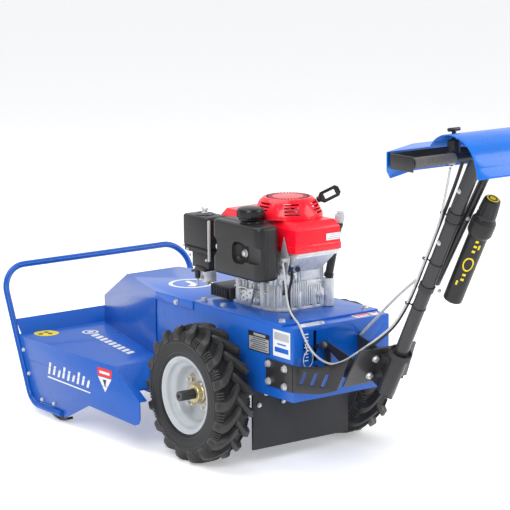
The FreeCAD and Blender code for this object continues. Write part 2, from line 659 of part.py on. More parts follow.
def make_blade_rotor():
    """Spindle with its pulley on top and the swinging bar blade below the deck."""
    shaft = new_body("spindle_shaft", "axle_x + spindle_x")
    revolve(shaft, "XZ_Plane", [("0", "blade_z - 12"), ("34", "blade_z - 12"), ("34", "blade_z"),
                                ("spindle_radius", "blade_z"), ("spindle_radius", "372"),
                                ("0", "372")])
    vee_pulley("spindle_pulley", "spindle_x", "spindle_pulley_radius", "blade_belt_z",
               "spindle_radius")
    blade = new_body("blade", "axle_x + spindle_x")
    half, wide, slant = "blade_length / 2", "blade_width / 2", "blade_width / 3"
    bar = [("-(%s)" % half, "-(%s)" % wide), ("(%s) - (%s)" % (half, slant), "-(%s)" % wide),
           (half, "0"), (half, wide), ("(%s) - (%s)" % (slant, half), wide),
           ("-(%s)" % half, "0")]
    pad(blade, "XY_Plane", [bar, ("circle", "0", "0", "spindle_radius")], "blade_z", "8")
    disc = [("circle", "0", "0", "110"), ("circle", "0", "0", "spindle_radius")]
    pad(blade, "XY_Plane", [disc[0], disc[1]], "blade_z + 8", "6")
    return shaft, blade


def make_idler():
    """Blade clutch: a pivoting arm with a flat idler that presses on the belt's slack side."""
    arm_z, thick = size("idler_z"), 6.0
    pivot = V(size("idler_x"), size("idler_y"), arm_z)
    angle = math.radians(size("idler_belt_angle") + size("idler_free_angle"))
    wheel = pivot + V(math.cos(angle), math.sin(angle), 0) * size("idler_reach")
    bar_way = (wheel - pivot).normalize()
    across = UP.cross(bar_way) * 14
    strip = slab([pivot + across, wheel + across, wheel - across, pivot - across],
                 V(0, 0, thick))
    arm = strip.fuse([rod(pivot, pivot + V(0, 0, thick), 18),
                      rod(wheel, wheel + V(0, 0, thick), 16),
                      rod(pivot - V(0, 0, 24), pivot + V(0, 0, 20), 14)])
    pin = size("idler_pin_radius") + size("running_gap")
    arm = arm.cut(rod(pivot - V(0, 0, 30), pivot + V(0, 0, 30), pin))
    axle = rod(wheel - V(0, 0, 28), wheel, 6)
    feature("idler_arm", [arm.fuse(axle).removeSplitter()])
    low, high = wheel - V(0, 0, 25), wheel - V(0, 0, 3)
    roller = rod(low, high, 20, 6 + size("running_gap"))
    flanges = [rod(low, low + V(0, 0, 2.5), 24, 7), rod(high - V(0, 0, 2.5), high, 24, 7)]
    feature("idler_pulley", [roller.fuse(flanges).removeSplitter()])


make_gearbox()
make_bearings()
make_spindle_housing()
make_belts()
make_crank_train()
make_blade_rotor()
vee_pulley("input_pulley", "input_x", "input_pulley_radius", "drive_belt_z", "0")
pad(nodes[-1], "XY_Plane", [("circle", "0", "0", "9")], "224", "72")
make_idler()


# ---------------------------------------------------------------- engine
FILLER = (V(-160, -92, 531.5), V(-197, -101, 698))


def make_engine_base():
    """Lower crankcase with its foot flange, both cut off at the left rear corner."""
    body = new_body("engine_base")
    cut_corner = lambda rear, front, half, low: [
        (rear, "-(%s)" % half), (front, "-(%s)" % half), (front, half), ("-104", half), (rear, low)]
    foot = cut_corner("base_rear", "base_front", "base_half", "56")
    crank_hole = ("circle", "crank_x", "0", "shaft_radius + running_gap")
    pad(body, "XY_Plane", [foot, crank_hole], "engine_low", "10")
    case = cut_corner("base_rear + 8", "base_front - 8", "base_half - 17", "46")
    pad(body, "XY_Plane", [case, crank_hole], "engine_low + 9", "base_high - engine_low - 9")
    round_edges(body, 14, along(UP))
    boss = [("circle", "boss_x", "boss_y", "boss_radius"), ("circle", "boss_x", "boss_y", "9")]
    pad(body, "XY_Plane", boss[:1], "engine_low", "base_high - engine_low + 4")
    pocket(body, "XY_Plane", boss[1:], "base_high - 30", "40")
    return body


def make_engine_block():
    """Upper crankcase and the lying cylinder that reaches forward under the shroud."""
    body = new_body("engine_block")
    crank_hole = ("circle", "crank_x", "0", "shaft_radius + running_gap")
    pad(body, "XY_Plane", [box_outline("-150", "-2", "-78", "66"), crank_hole], "base_high", "96")
    pad(body, "XY_Plane", [box_outline("-224", "12", "-74", "74"), crank_hole], "base_high + 88",
        "14")
    pad(body, "YZ_Plane", [box_outline("-62", "58", "548", "626")], "-4", "146")
    pad(body, "YZ_Plane", [box_outline("-70", "66", "540", "626")], "60", "16")
    return body


def make_shroud():
    """Blower housing over the flywheel and cylinder, open below."""
    body = new_body("engine_shroud")
    plan = [("shroud_rear", "-shroud_half"), ("shroud_front", "-shroud_half"),
            ("shroud_front", "shroud_half - 8"), ("-10", "shroud_half - 8"), ("-30", "shroud_half"),
            ("shroud_rear", "shroud_half")]
    pad(body, "XY_Plane", [plan], "shroud_low", "shroud_top - shroud_low")
    inner = [("shroud_rear + 3", "-shroud_half + 3"), ("shroud_front - 3", "-shroud_half + 3"),
             ("shroud_front - 3", "shroud_half - 11"), ("-12", "shroud_half - 11"),
             ("-31", "shroud_half - 3"), ("shroud_rear + 3", "shroud_half - 3")]
    pocket(body, "XY_Plane", [inner], "shroud_low - 1", "shroud_top - shroud_low - 2")
    pocket(body, "XY_Plane", [("circle", "crank_x", "0", "80")], "shroud_top - 5", "10")
    doc.recompute()
    corner = lambda edge: abs(edge.CenterOfMass.x) > 140 and edge.Length > 86.9
    round_edges(body, 10, lambda edge: along(UP)(edge) and corner(edge))
    return body


def make_recoil():
    """Recoil starter housing: a slotted dome on the shroud."""
    body = new_body("recoil_cover", "axle_x + recoil_x")
    low = "shroud_top + 0.2"
    revolve(body, "XZ_Plane", [("recoil_low_radius - 4", low), ("recoil_low_radius", low),
                               ("recoil_low_radius - 2", "shroud_top + 14"),
                               ("recoil_high_radius + 6", "recoil_top - 10"),
                               ("recoil_high_radius - 4", "recoil_top - 2"),
                               ("recoil_high_radius - 20", "recoil_top"), ("0", "recoil_top"),
                               ("0", "recoil_top - 3"), ("recoil_high_radius - 20", "recoil_top - 3"),
                               ("recoil_high_radius", "recoil_top - 12"),
                               ("recoil_low_radius - 6", "shroud_top + 12")])
    doc.recompute()
    slots = []
    for row in range(4):
        z = "shroud_top + %d" % (14 + 9 * row)
        slots.append(box_outline("-22", "22", z, z + " + 4.5"))
    cut = pocket(body, "XZ_Plane", slots, "60", "60")
    pattern = body.newObject("PartDesign::PolarPattern", "slot_groups")
    pattern.Originals = [cut]
    upright = [axis for axis in body.Origin.OriginFeatures if axis.Role == "Z_Axis"][0]
    pattern.Axis = (upright, [""])
    pattern.Angle = 360
    pattern.Occurrences = 6
    body.Tip = pattern
    return body


def make_tank():
    """Moulded fuel tank, hollow, with two recessed bolt pockets on its outer face."""
    body = new_body("fuel_tank")
    plan = box_outline("tank_rear", "tank_front", "tank_in", "tank_out")
    pad(body, "XY_Plane", [plan], "tank_low", "tank_high - tank_low")
    round_edges(body, 18, lambda edge: along(UP)(edge))
    pad(body, "XY_Plane", [("circle", "cap_x", "cap_y", "24")], "tank_high - 2",
        "neck_height + 2")
    pocket(body, "XY_Plane", [("circle", "cap_x", "cap_y", "20")], "tank_high - 60", "80")
    recesses = [box_outline("-132", "-66", "594", "658"),
                box_outline("10", "tank_front + 5", "600", "658")]
    pocket(body, "XZ_Plane", recesses, "tank_out - 26", "40")
    return body


def make_air_cleaner():
    """Two-part filter box standing on the intake elbow."""
    body = new_body("air_cleaner")
    pad(body, "XY_Plane", [box_outline("98", "226", "80", "160")], "584", "113")
    pad(body, "XY_Plane", [box_outline("120", "196", "84", "148")], "538", "47")
    round_edges(body, 12, lambda edge: along(UP)(edge) and edge.Length > 100)
    pad(body, "XY_Plane", [("circle", "166", "120", "7")], "696", "5")
    return body


def make_small_engine_parts():
    """Carburettor, muffler guard, oil filler, dipstick, brake and throttle brackets."""
    bowl_x, bowl_y = 171, 104
    carburettor = rod(V(bowl_x, bowl_y, 491), V(bowl_x, bowl_y, 521), 23).fuse(
        [rod(V(bowl_x, bowl_y, 520), V(bowl_x, bowl_y, 529), 26),
         block(132, 200, 84, 122, 526, 537.6), block(143, 158, 50, 83.6, 527, 556)])
    feature("carburettor", [carburettor.removeSplitter()])
    guard_out, pitch, slot = 106, 13.5, 8.5
    muffler = block(60, 160, -84, guard_out, 451, 486)
    for number in range(7):
        x = 66 + pitch * number
        muffler = muffler.cut(block(x, x + slot, guard_out - 6, guard_out + 1, 455, 482))
    feature("muffler", [muffler])
    neck, mouth = FILLER
    way = (mouth - neck).normalize()
    feature("oil_filler_tube", [rod(neck, mouth, size("filler_radius"), 8)])
    top = mouth + way * 0.4
    stick = rod(neck - way * 15, top, 3).fuse([rod(top, top + way * 22, 14),
                                               rod(top + way * 22, top + way * 32, 10)])
    feature("dipstick", [stick.removeSplitter()])
    panel = slab([V(x, 98, z) for x, z in ((28, 455), (-4, 492), (-59, 505), (-43, 455))],
                 V(0, 4, 0))
    arm = slab([V(x, 88, z) for x, z in ((-183, 673), (-169, 626), (-163, 545), (-186, 545),
                                         (-204, 600), (-212, 626))], V(0, 3, 0))
    foot = block(-172, -150, 66, 89, 545, 560)
    link = rod(V(-192, 91, 606), V(-192, 99, 606), 7)
    feature("control_bracket", [panel, arm.fuse([foot, link]).removeSplitter()])


def make_recoil_grip():
    """Pull handle on the starter rope: a loop with its socket end in the housing."""
    seat = V(-129, -72, 756)
    way = V(-0.65, -0.60, 0.46).normalize()
    side = V(0.36, 0.30, 0.90).cross(way).cross(way).normalize() * -1
    over = side.cross(way).normalize()
    at = lambda along_way, aside: seat + way * along_way + side * aside + over * -5
    outline = [at(10, -8), at(20, -17), at(68, -17), at(76, -9), at(76, 9), at(68, 17),
               at(20, 17), at(10, 8)]
    window = [at(26, -8), at(62, -8), at(62, 8), at(26, 8)]
    loop = slab(outline, over * 10).cut(slab([p - over for p in window], over * 12))
    feature("recoil_grip", [loop.fuse(rod(seat + way * 4, seat + way * 14, 9))])


def make_fuel_cap():
    """Ridged screw cap with a skirt over the filler neck."""
    body = new_body("fuel_cap", "axle_x + cap_x", "cap_y")
    low, high = "tank_high + neck_height - 7", "tank_high + neck_height - 7 + cap_height"
    revolve(body, "XZ_Plane", [("0", high), ("0", low + " + 8"), ("cap_radius - 9", low + " + 8"),
                               ("cap_radius - 9", low), ("cap_radius - 3", low),
                               ("cap_radius", low + " + 5"), ("cap_radius", high + " - 8"),
                               ("cap_radius - 10", high + " - 2")])
    notch = [("cap_radius - 1.6", "-1"), ("cap_radius + 3", "-2"), ("cap_radius + 3", "2"),
             ("cap_radius - 1.6", "1")]
    cut = pocket(body, "XY_Plane", [notch], low + " - 1", "cap_height - 9")
    pattern = body.newObject("PartDesign::PolarPattern", "ridges")
    pattern.Originals = [cut]
    pattern.Axis = (cut.Profile[0], ["N_Axis"])
    pattern.Angle = 360
    pattern.Occurrences = 18
    body.Tip = pattern
    return body


def make_wing_nut():
    """Wing nut that holds the air cleaner's lid."""
    body = new_body("filter_wing_nut", "axle_x + wing_x", "wing_y")
    revolve(body, "XZ_Plane", [("0", "701.3"), ("10", "701.3"), ("10", "702.8"), ("7", "704"),
                               ("6", "713"), ("0", "713")])
    wings = [[("4", "705"), ("9", "705"), ("15", "716"), ("11", "718"), ("4", "712")],
             [("-4", "705"), ("-4", "712"), ("-11", "718"), ("-15", "716"), ("-9", "705")]]
    for wing in wings:
        pad(body, "XZ_Plane", [wing], "-1.5", "3")
    return body


make_engine_base()
make_engine_block()
make_shroud()
make_recoil()
make_tank()
make_air_cleaner()
make_small_engine_parts()
make_recoil_grip()
make_fuel_cap()
make_wing_nut()


# ---------------------------------------------------------------- column, bracket and canister
LEAN = math.radians(size("lean"))
FOOT = V(size("foot_x"), 0, size("foot_z"))
OUT = V(math.cos(LEAN), 0, math.sin(LEAN))
SHAFT = V(-math.sin(LEAN), 0, math.cos(LEAN))


def column_point(out, y, up):
    """A point given across, sideways and up along the leaning column."""
    return FOOT + OUT * out + V(0, y, 0) + SHAFT * up


def make_bracket():
    """Bolt-on bracket: two slotted arms that bend inward to the column's mount plate."""
    thick, low, high = size("arm_thick"), size("arm_low"), size("arm_high")
    rear, half = size("chassis_rear"), size("chassis_half")
    arms = []
    for side in (1, -1):
        flat = slab([V(x, side * half, z) for x, z in
                     ((-214, low), (rear - 3, low), (rear - 3, high), (-214, high))],
                    V(0, side * thick, 0))
        bend = V(rear - 3, side * half, 0)
        way = V(-162, -side * 78, 0).normalize()
        at = lambda reach, z: bend + way * reach + V(0, 0, z)
        outline = [at(0, low), at(0, high), at(22, high), at(82, 341), at(119, 350),
                   at(176, 372), at(137, 278), at(82, 262)]
        skew = UP.cross(way).normalize() * -side * thick
        arm = slab(outline, skew)
        for start in (18, 52, 86):
            slot = [at(start, 284), at(start + 10, 284), at(start + 26, 322), at(start + 16, 322)]
            arm = arm.cut(slab([p - skew for p in slot], skew * 3))
        arms.append(flat.fuse(arm).removeSplitter())
    feature("bracket_arms", arms)


def make_column_mount():
    """Mount plate, gussets to the chassis and the socket that holds the column."""
    out, half = size("mount_out"), size("mount_half")
    low, high = size("mount_low"), size("mount_high")
    plate = slab([column_point(out, y, s) for y, s in
                  ((-half - 12, low), (half + 12, low), (half - 2, high), (-half + 2, high))],
                 OUT * 6)
    socket = rod(column_point(0, 0, 0), column_point(0, 0, size("socket_length")),
                 size("socket_radius"))
    web = slab([column_point(10, -20, 6), column_point(out + 1, -20, 6),
                column_point(out + 1, -20, 100), column_point(10, -20, 100)], V(0, 40, 0))
    mount = plate.fuse([socket, web])
    mount = mount.cut(rod(column_point(0, 0, -1), column_point(0, 0, 200), size("column_radius")))
    rear = size("chassis_rear")
    for y in (58, -63):
        foot = column_point(out + 5, y, 58)
        base = column_point(out + 5, y, low + 8)
        corners = [V(rear, y, 392), V(rear, y, 300), V(base.x, y, base.z), V(foot.x, y, foot.z)]
        window = [V(rear - 24, y, 366), V(rear - 24, y, 322), V(rear - 92, y, 330)]
        mount = mount.fuse(slab(corners, V(0, 5, 0)).cut(slab(window, V(0, 5, 0))))
    return feature("column_mount", [mount.removeSplitter()])


def make_column():
    """Steering tube, its rubber collar at the socket mouth and a clamp band half way up."""
    radius = size("column_radius")
    tube = rod(column_point(0, 0, size("column_low")), column_point(0, 0, size("column_high")),
               radius, radius - 3)
    feature("handle_column", [tube])
    mouth = size("socket_length")
    collar = rod(column_point(0, 0, mouth), column_point(0, 0, mouth + 8), 33, radius)
    cup = rod(column_point(0, 0, mouth + 8), column_point(0, 0, mouth + 16), 33, 29)
    band = rod(column_point(0, 0, 584), column_point(0, 0, 592), radius + 2, radius)
    feature("column_collar", [collar.fuse(cup).removeSplitter(), band])


def make_canister():
    """Round document holder clipped to the column."""
    out, y, low = size("can_out"), size("can_y"), size("can_low")
    radius, length = size("can_radius"), size("can_length")
    at = lambda up: column_point(out, y, up)
    tube = rod(at(low), at(low + length), radius)
    ring = rod(at(low + length - 52), at(low + length - 14), radius + 7)
    tube = tube.fuse(ring).cut(rod(at(low + 6), at(low + length + 1), radius - 4))
    for up, wide in ((low + 12, 9), (low + length - 21, 11)):
        clip = slab([column_point(-size("column_radius") - 1, -9, up - wide),
                     column_point(-size("column_radius") - 1, -17, up - wide),
                     column_point(out + 4, y + radius - 2, up - wide),
                     column_point(out + 12, y + radius - 1, up - wide)], SHAFT * 2 * wide)
        loop = rod(column_point(0, 0, up - wide), column_point(0, 0, up + wide),
                   size("column_radius") + 3, size("column_radius"))
        tube = tube.fuse([clip.cut(rod(at(low), at(low + length), radius - 1)), loop])
    tube = tube.cut(rod(column_point(0, 0, 0), column_point(0, 0, 800), size("column_radius")))
    feature("document_canister", [tube.removeSplitter()])
    cap_low = low + length + 0.4
    cap = rod(at(cap_low), at(cap_low + size("can_cap_length")), radius + 0.5)
    cap = cap.cut(rod(at(cap_low - 1), at(cap_low + 40), radius - 3))
    feature("canister_cap", [cap])


make_bracket()
make_column_mount()
make_column()
make_canister()


# ---------------------------------------------------------------- handlebar and controls
def make_handlebar():
    """Cross tube with its head block, the brace tube and the release plunger's housing."""
    x, z, radius = size("bar_x"), size("bar_z"), size("bar_radius")
    end = size("strap_out") - size("strap_thick")
    bar = rod(V(x, -end, z), V(x, end, z), radius)
    head = slab([V(x - 12, -30, 978), V(x + 32, -30, 978), V(x + 32, -30, 1000),
                 V(x - 12, -30, 1000)], V(0, 60, 0)).cut(
        rod(column_point(0, 0, 700), column_point(0, 0, size("column_high") + 0.2), 19.5))
    brace = rod(column_point(6, -36, 372), V(x + 10, -46, z - 4), 12)
    plunger_x, lever_y = size("plunger_x"), size("lever_y")
    parts = [head, brace]
    for side in (-1, 1):
        y = side * lever_y
        parts.append(block(x - 3, x + 37, y - 11, y + 11, z - 1, z + 12))
        parts.append(rod(V(x + 27, y, z - 25), V(x + 27, y, z), 4))
    bar = bar.fuse(parts)
    bar = bar.cut(rod(column_point(0, 0, 0), column_point(0, 0, size("column_high") + 0.2),
                      size("column_radius")))
    housing = rod(V(plunger_x, lever_y, z + 11), V(plunger_x, lever_y, 1034), 17)
    bar = bar.fuse(housing)
    bar = bar.cut(rod(V(plunger_x, lever_y, 1002), V(plunger_x, lever_y, 1050), 6.1))
    feature("handlebar", [bar.removeSplitter()])
    grips = []
    for side in (-1, 1):
        grips.append(rod(V(x, side * size("grip_in"), z), V(x, side * size("grip_out"), z),
                         size("grip_radius"), radius))
    feature("grips", grips)


def make_straps():
    """Flat steel loops round the grips that keep the hands from brush."""
    front, rear, thick = size("strap_front"), size("strap_rear"), size("strap_thick")
    low, height = size("strap_low"), size("strap_height")
    loops = []
    for side in (1, -1):
        end = size("strap_out")
        corners = [(rear, end), (front, end), (front, 52), (rear + 42, 30)]
        inner = [(rear + 42, 30 + thick), (front - thick, 52 + thick), (front - thick, end - thick),
                 (rear, end - thick)]
        plan = [V(x, side * y, low) for x, y in corners + inner]
        loop = slab(plan, V(0, 0, height))
        for inset, radius in ((thick, 10), (0, 14)):
            at_corner = lambda point: (abs(point.x - front + inset) < 0.1 and
                                       abs(abs(point.y) - end + inset) < 0.1)
            rounded = [edge for edge in loop.Edges
                       if along(UP)(edge) and at_corner(edge.Vertexes[0].Point)]
            loop = loop.makeFillet(radius, rounded)
        loops.append(loop)
    feature("hand_straps", loops)


def make_guards():
    """Blue hand guards in front of the grips: a flat top with a lip turned down."""
    z, half, metal = size("guard_z"), size("guard_half"), size("hood_metal")
    guards = []
    for side in (1, -1):
        top = [V(-848, side * half, z), V(-772, side * 112, z), V(-772, side * 1, z),
               V(-848, side * 1, z)]
        plate = slab(top, V(0, 0, -metal))
        along_edge = (top[1] - top[0]).normalize()
        inward = V(along_edge.y, -along_edge.x, 0) * (-side) * metal
        inward = inward if inward.x < 0 else inward * -1
        lip = slab([top[0], top[1], top[1] - V(0, 0, 72), top[0] + along_edge * 22 - V(0, 0, 72),
                    top[0] - V(0, 0, 50)], inward)
        front = slab([top[1], top[2], top[2] - V(0, 0, 72), top[1] - V(0, 0, 72)],
                     V(-metal, 0, 0))
        guards.append(plate.fuse([lip, front]).removeSplitter())
    feature("hand_guards", guards)


def make_hood():
    """Arched console cover over the controls."""
    half, metal = size("hood_half"), size("hood_metal")
    path = [V(-868, 0, 1012), V(-892, 0, 1038), V(-935, 0, 1053), V(-985, 0, 1046),
            V(-1028, 0, 1018), V(-1050, 0, 975), V(-1057, 0, 948)]
    curve = Part.BSplineCurve()
    curve.interpolate(path)
    inner = Part.BSplineCurve()
    middle = V(-955, 0, 930)
    inner.interpolate([p + (middle - p).normalize() * metal for p in path])
    edges = [curve.toShape(), Part.LineSegment(curve.EndPoint, inner.EndPoint).toShape(),
             inner.toShape(), Part.LineSegment(inner.StartPoint, curve.StartPoint).toShape()]
    face = Part.Face(Part.Wire(Part.sortEdges(edges)[0]))
    hood = face.extrude(V(0, 2 * half, 0))
    hood.translate(V(0, -half, 0))
    hole = V(size("plunger_x"), size("lever_y"), 900)
    hood = hood.cut(rod(hole, hole + V(0, 0, 200), 8.5))
    feature("console_hood", [hood])


def make_controls():
    """Drive and blade levers, release plunger, gear lever."""
    x, z = size("bar_x"), size("bar_z")
    for label, side in (("drive_lever", 1), ("blade_lever", -1)):
        clamp_y = side * size("lever_y")
        tip_y, tip_x = side * 230, x + size("grip_radius") + size("lever_travel")
        collar = rod(V(x + 27, clamp_y, z - 20), V(x + 27, clamp_y, z - 2), 10)
        blade = slab([V(x + 20, clamp_y, z - 14), V(x + 35, clamp_y, z - 14),
                      V(tip_x + 8, tip_y, z - 14), V(tip_x, tip_y, z - 14)], V(0, 0, 8))
        pin_hole = rod(V(x + 27, clamp_y, z - 30), V(x + 27, clamp_y, z), 4.05)
        lever = collar.fuse(blade).cut(pin_hole)
        feature(label, [lever.removeSplitter()])
    plunger_x, lever_y = size("plunger_x"), size("lever_y")
    stem = rod(V(plunger_x, lever_y, 1003), V(plunger_x, lever_y, 1060), 6)
    bar = rod(V(plunger_x, lever_y - 19, 1061), V(plunger_x, lever_y + 19, 1061), 5)
    feature("release_plunger", [stem.fuse(bar).removeSplitter()])
    rear = size("chassis_rear")
    hub = rod(V(rear + 60, 90, 352), V(rear + 60, 104, 352), 14)
    lever = slab([V(rear + 66, 94, 346), V(rear - 34, 94, 385), V(rear - 34, 94, 397),
                  V(rear + 60, 94, 362)], V(0, 6, 0))
    knob = rod(V(rear - 44, 97, 393), V(rear - 26, 97, 386), 9)
    feature("gear_lever", [hub.fuse([lever, knob]).removeSplitter()])


def make_fasteners():
    """Bolts of the frame, bracket, engine and deck."""
    half, rear = size("chassis_half"), size("chassis_rear")
    shapes = []
    outer = half + size("arm_thick")
    for side in (-1, 1):
        for x, z in ((-227, 322), (-305, 320), (-229, 271), (-304, 268)):
            shapes.append(bolt(V(x, side * outer, z), V(0, side, 0), 5, 6))
        for up in (24, 84):
            shapes.append(bolt(column_point(size("mount_out"), side * 34, up), OUT * -1, 5, 6))
        for x in (-255, 30, 128):
            shapes.append(bolt(V(x, side * 153, size("engine_low")), UP, 5, 6))
        for x in (-92, 44):
            shapes.append(bolt(V(x, side * 89, size("engine_low") + 10), UP, 3.6, 6))
        for x, z in ((842, 190), (812, 118), (735, 48), (664, 48)):
            y = side * size("deck_half")
            shapes.append(bolt(V(x - 6, y, z + 4), V(0, side, 0), 3, 4))
        for y in (60, 130):
            shapes.append(bolt(V(size("flap_x"), side * y, 212), V(-1, 0, 0), 4, 8))
        shapes.append(bolt(V(235, side * (half + 3), 425), V(0, side, 0), 4, 3))
    for x, y in ((-320, 60), (-318, -120)):
        shapes.append(bolt(V(x, y, size("chassis_top")), UP, 4, 4))
    feature("frame_bolts", shapes)


def beside_column(route):
    """Cable points that follow the column, given across, sideways and up along it."""
    return [tuple(column_point(*point)) for point in route]


def make_cables():
    """Control cables and the stiff conduit between chassis, engine and column."""
    cord("throttle_cable", [(-192, 102, 606), (-206, 107, 574), (-220, 112, 530),
                            (-240, 121, 486), (-284, 137, 462), (-330, 150, 452),
                            (-356, 152, 416), (-371, 132, 368), (-404, 101, 338),
                            (-438, 80, 350), (-476, 64, 378), (-520, 54, 410),
                            (-566, 45, 444)] + beside_column(
        [(33, 33, 215), (22, 27, 290), (19, 26, 365), (20, 25, 440), (18, 26, 515),
         (20, 27, 590)]) + [(-826, 48, 852), (-874, 78, 908), (-914, 104, 960)], 3.0)
    cord("clutch_conduit", [(-330, -70, 386), (-366, -64, 412), (-402, -58, 439),
                            (-480, -44, 497), (-560, -32, 556), (-640, -18, 606)], 4.0)
    cord("control_loom", [(-337, 96, 322), (-372, 96, 316), (-412, 92, 322), (-452, 82, 340),
                          (-492, 66, 372), (-534, 46, 414)] + beside_column(
        [(38, 24, 200), (28, 17, 270), (26, 14, 345), (25, 16, 420), (26, 15, 495),
         (25, 16, 570), (26, 15, 645), (25, 17, 715), (27, 20, 775)]), 5.0)


make_handlebar()
make_straps()
make_guards()
make_hood()
make_controls()
make_fasteners()
make_cables()

# ---------------------------------------------------------------- check and export
doc.recompute()
for item in doc.Objects:
    if "Invalid" in item.State or "Error" in item.State:
        raise RuntimeError("%s did not recompute" % item.Label)
whole = FreeCAD.BoundBox()
for node in nodes:
    if node.Shape.isNull() or not node.Shape.isValid():
        raise RuntimeError("%s has no valid shape" % node.Label)
    whole.add(node.Shape.BoundBox)
    node.Shape.exportStep("parts/%s.step" % node.Label)
print(len(nodes), "nodes, box", whole)
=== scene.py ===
import json
import math

import bmesh
import bpy
from mathutils import Matrix, Vector


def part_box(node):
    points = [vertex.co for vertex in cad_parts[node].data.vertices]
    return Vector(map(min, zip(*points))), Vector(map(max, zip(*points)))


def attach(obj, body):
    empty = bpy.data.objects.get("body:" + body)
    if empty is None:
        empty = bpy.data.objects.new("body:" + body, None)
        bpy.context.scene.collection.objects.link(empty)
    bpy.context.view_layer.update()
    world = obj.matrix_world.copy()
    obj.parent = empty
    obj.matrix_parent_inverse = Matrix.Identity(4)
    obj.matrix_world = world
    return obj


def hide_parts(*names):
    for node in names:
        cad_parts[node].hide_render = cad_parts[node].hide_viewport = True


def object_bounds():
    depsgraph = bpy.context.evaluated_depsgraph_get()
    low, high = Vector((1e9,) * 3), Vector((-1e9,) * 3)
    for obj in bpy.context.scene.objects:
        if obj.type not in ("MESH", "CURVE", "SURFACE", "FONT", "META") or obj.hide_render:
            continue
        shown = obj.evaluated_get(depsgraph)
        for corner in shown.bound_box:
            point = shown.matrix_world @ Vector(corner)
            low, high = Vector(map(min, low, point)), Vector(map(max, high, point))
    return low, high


# Brush mower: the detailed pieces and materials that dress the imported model.
# Lengths below are millimetres, measured like the part's own drawing: x from the wheel axle,
# y from the middle plane and z from the ground. point() brings them into the row frame.

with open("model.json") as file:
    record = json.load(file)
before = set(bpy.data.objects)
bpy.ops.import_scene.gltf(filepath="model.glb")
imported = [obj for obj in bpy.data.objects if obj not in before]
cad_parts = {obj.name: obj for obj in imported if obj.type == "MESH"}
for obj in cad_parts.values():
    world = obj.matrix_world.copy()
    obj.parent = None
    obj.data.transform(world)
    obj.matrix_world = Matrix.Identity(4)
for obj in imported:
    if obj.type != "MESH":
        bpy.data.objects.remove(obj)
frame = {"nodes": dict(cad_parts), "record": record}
cad_low, cad_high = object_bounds()

MM = 0.001
axle_low, axle_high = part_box("axle_shaft")
AXLE = Vector(((axle_low.x + axle_high.x) / 2, 0, 0))
WHEEL_Z = (axle_low.z + axle_high.z) / 2 / MM
UP, FORWARD, LEFT = Vector((0, 0, 1)), Vector((1, 0, 0)), Vector((0, 1, 0))
CHASSIS, WHEELS = "chassis", "drive_axle"


def point(x, y, z):
    return AXLE + Vector((x, y, z)) * MM


LEAN = math.radians(27.87)
FOOT = Vector((-533, 0, 273))
OUT = Vector((math.cos(LEAN), 0, math.sin(LEAN)))
SHAFT = Vector((-math.sin(LEAN), 0, math.cos(LEAN)))


def column(out, y, up):
    """A place given across, sideways and up along the leaning column, as drawing numbers."""
    return FOOT + OUT * out + Vector((0, y, 0)) + SHAFT * up


def around(count, start=0.0):
    """Angles evenly spaced round a full turn, from a start in degrees."""
    return [math.radians(start) + 2 * math.pi * k / count for k in range(count)]


def skin(mesh, rings):
    """Walls between rings of vertices, closed by a face at each end."""
    for low, high in zip(rings, rings[1:]):
        for i in range(len(low)):
            after = (i + 1) % len(low)
            mesh.faces.new((low[i], low[after], high[after], high[i]))
    mesh.faces.new(list(reversed(rings[0])))
    mesh.faces.new(rings[-1])


def linked(name, data):
    """A new object with this data, in the scene."""
    thing = bpy.data.objects.new(name, data)
    bpy.context.scene.collection.objects.link(thing)
    return thing


def from_bmesh(name, mesh):
    """A new object made of a finished bmesh, which is freed."""
    data = bpy.data.meshes.new(name)
    mesh.to_mesh(data)
    mesh.free()
    return linked(name, data)


# ---------------------------------------------------------------- camera
def make_camera():
    yaw, pitch, roll = math.radians(-36.642), math.radians(-10.776), math.radians(-0.44)
    ahead = Vector((math.cos(yaw) * math.cos(pitch), math.sin(yaw) * math.cos(pitch),
                    math.sin(pitch)))
    right = Vector((math.sin(yaw), -math.cos(yaw), 0))
    above = right.cross(ahead)
    tilted_right = right * math.cos(roll) + above * math.sin(roll)
    tilted_up = above * math.cos(roll) - right * math.sin(roll)
    data = bpy.data.cameras.new("camera")
    data.sensor_width, data.lens = 36, 160.8
    data.clip_start, data.clip_end = 0.1, 100
    camera = linked("camera", data)
    axes = Matrix((tilted_right, tilted_up, -ahead)).transposed()
    camera.matrix_world = Matrix.Translation(point(-5301.87, 4001.26, 1847.34)) @ axes.to_4x4()
    bpy.context.scene.camera = camera


make_camera()


# ---------------------------------------------------------------- materials
def socket(shader, name, value):
    shader.inputs[name].default_value = value


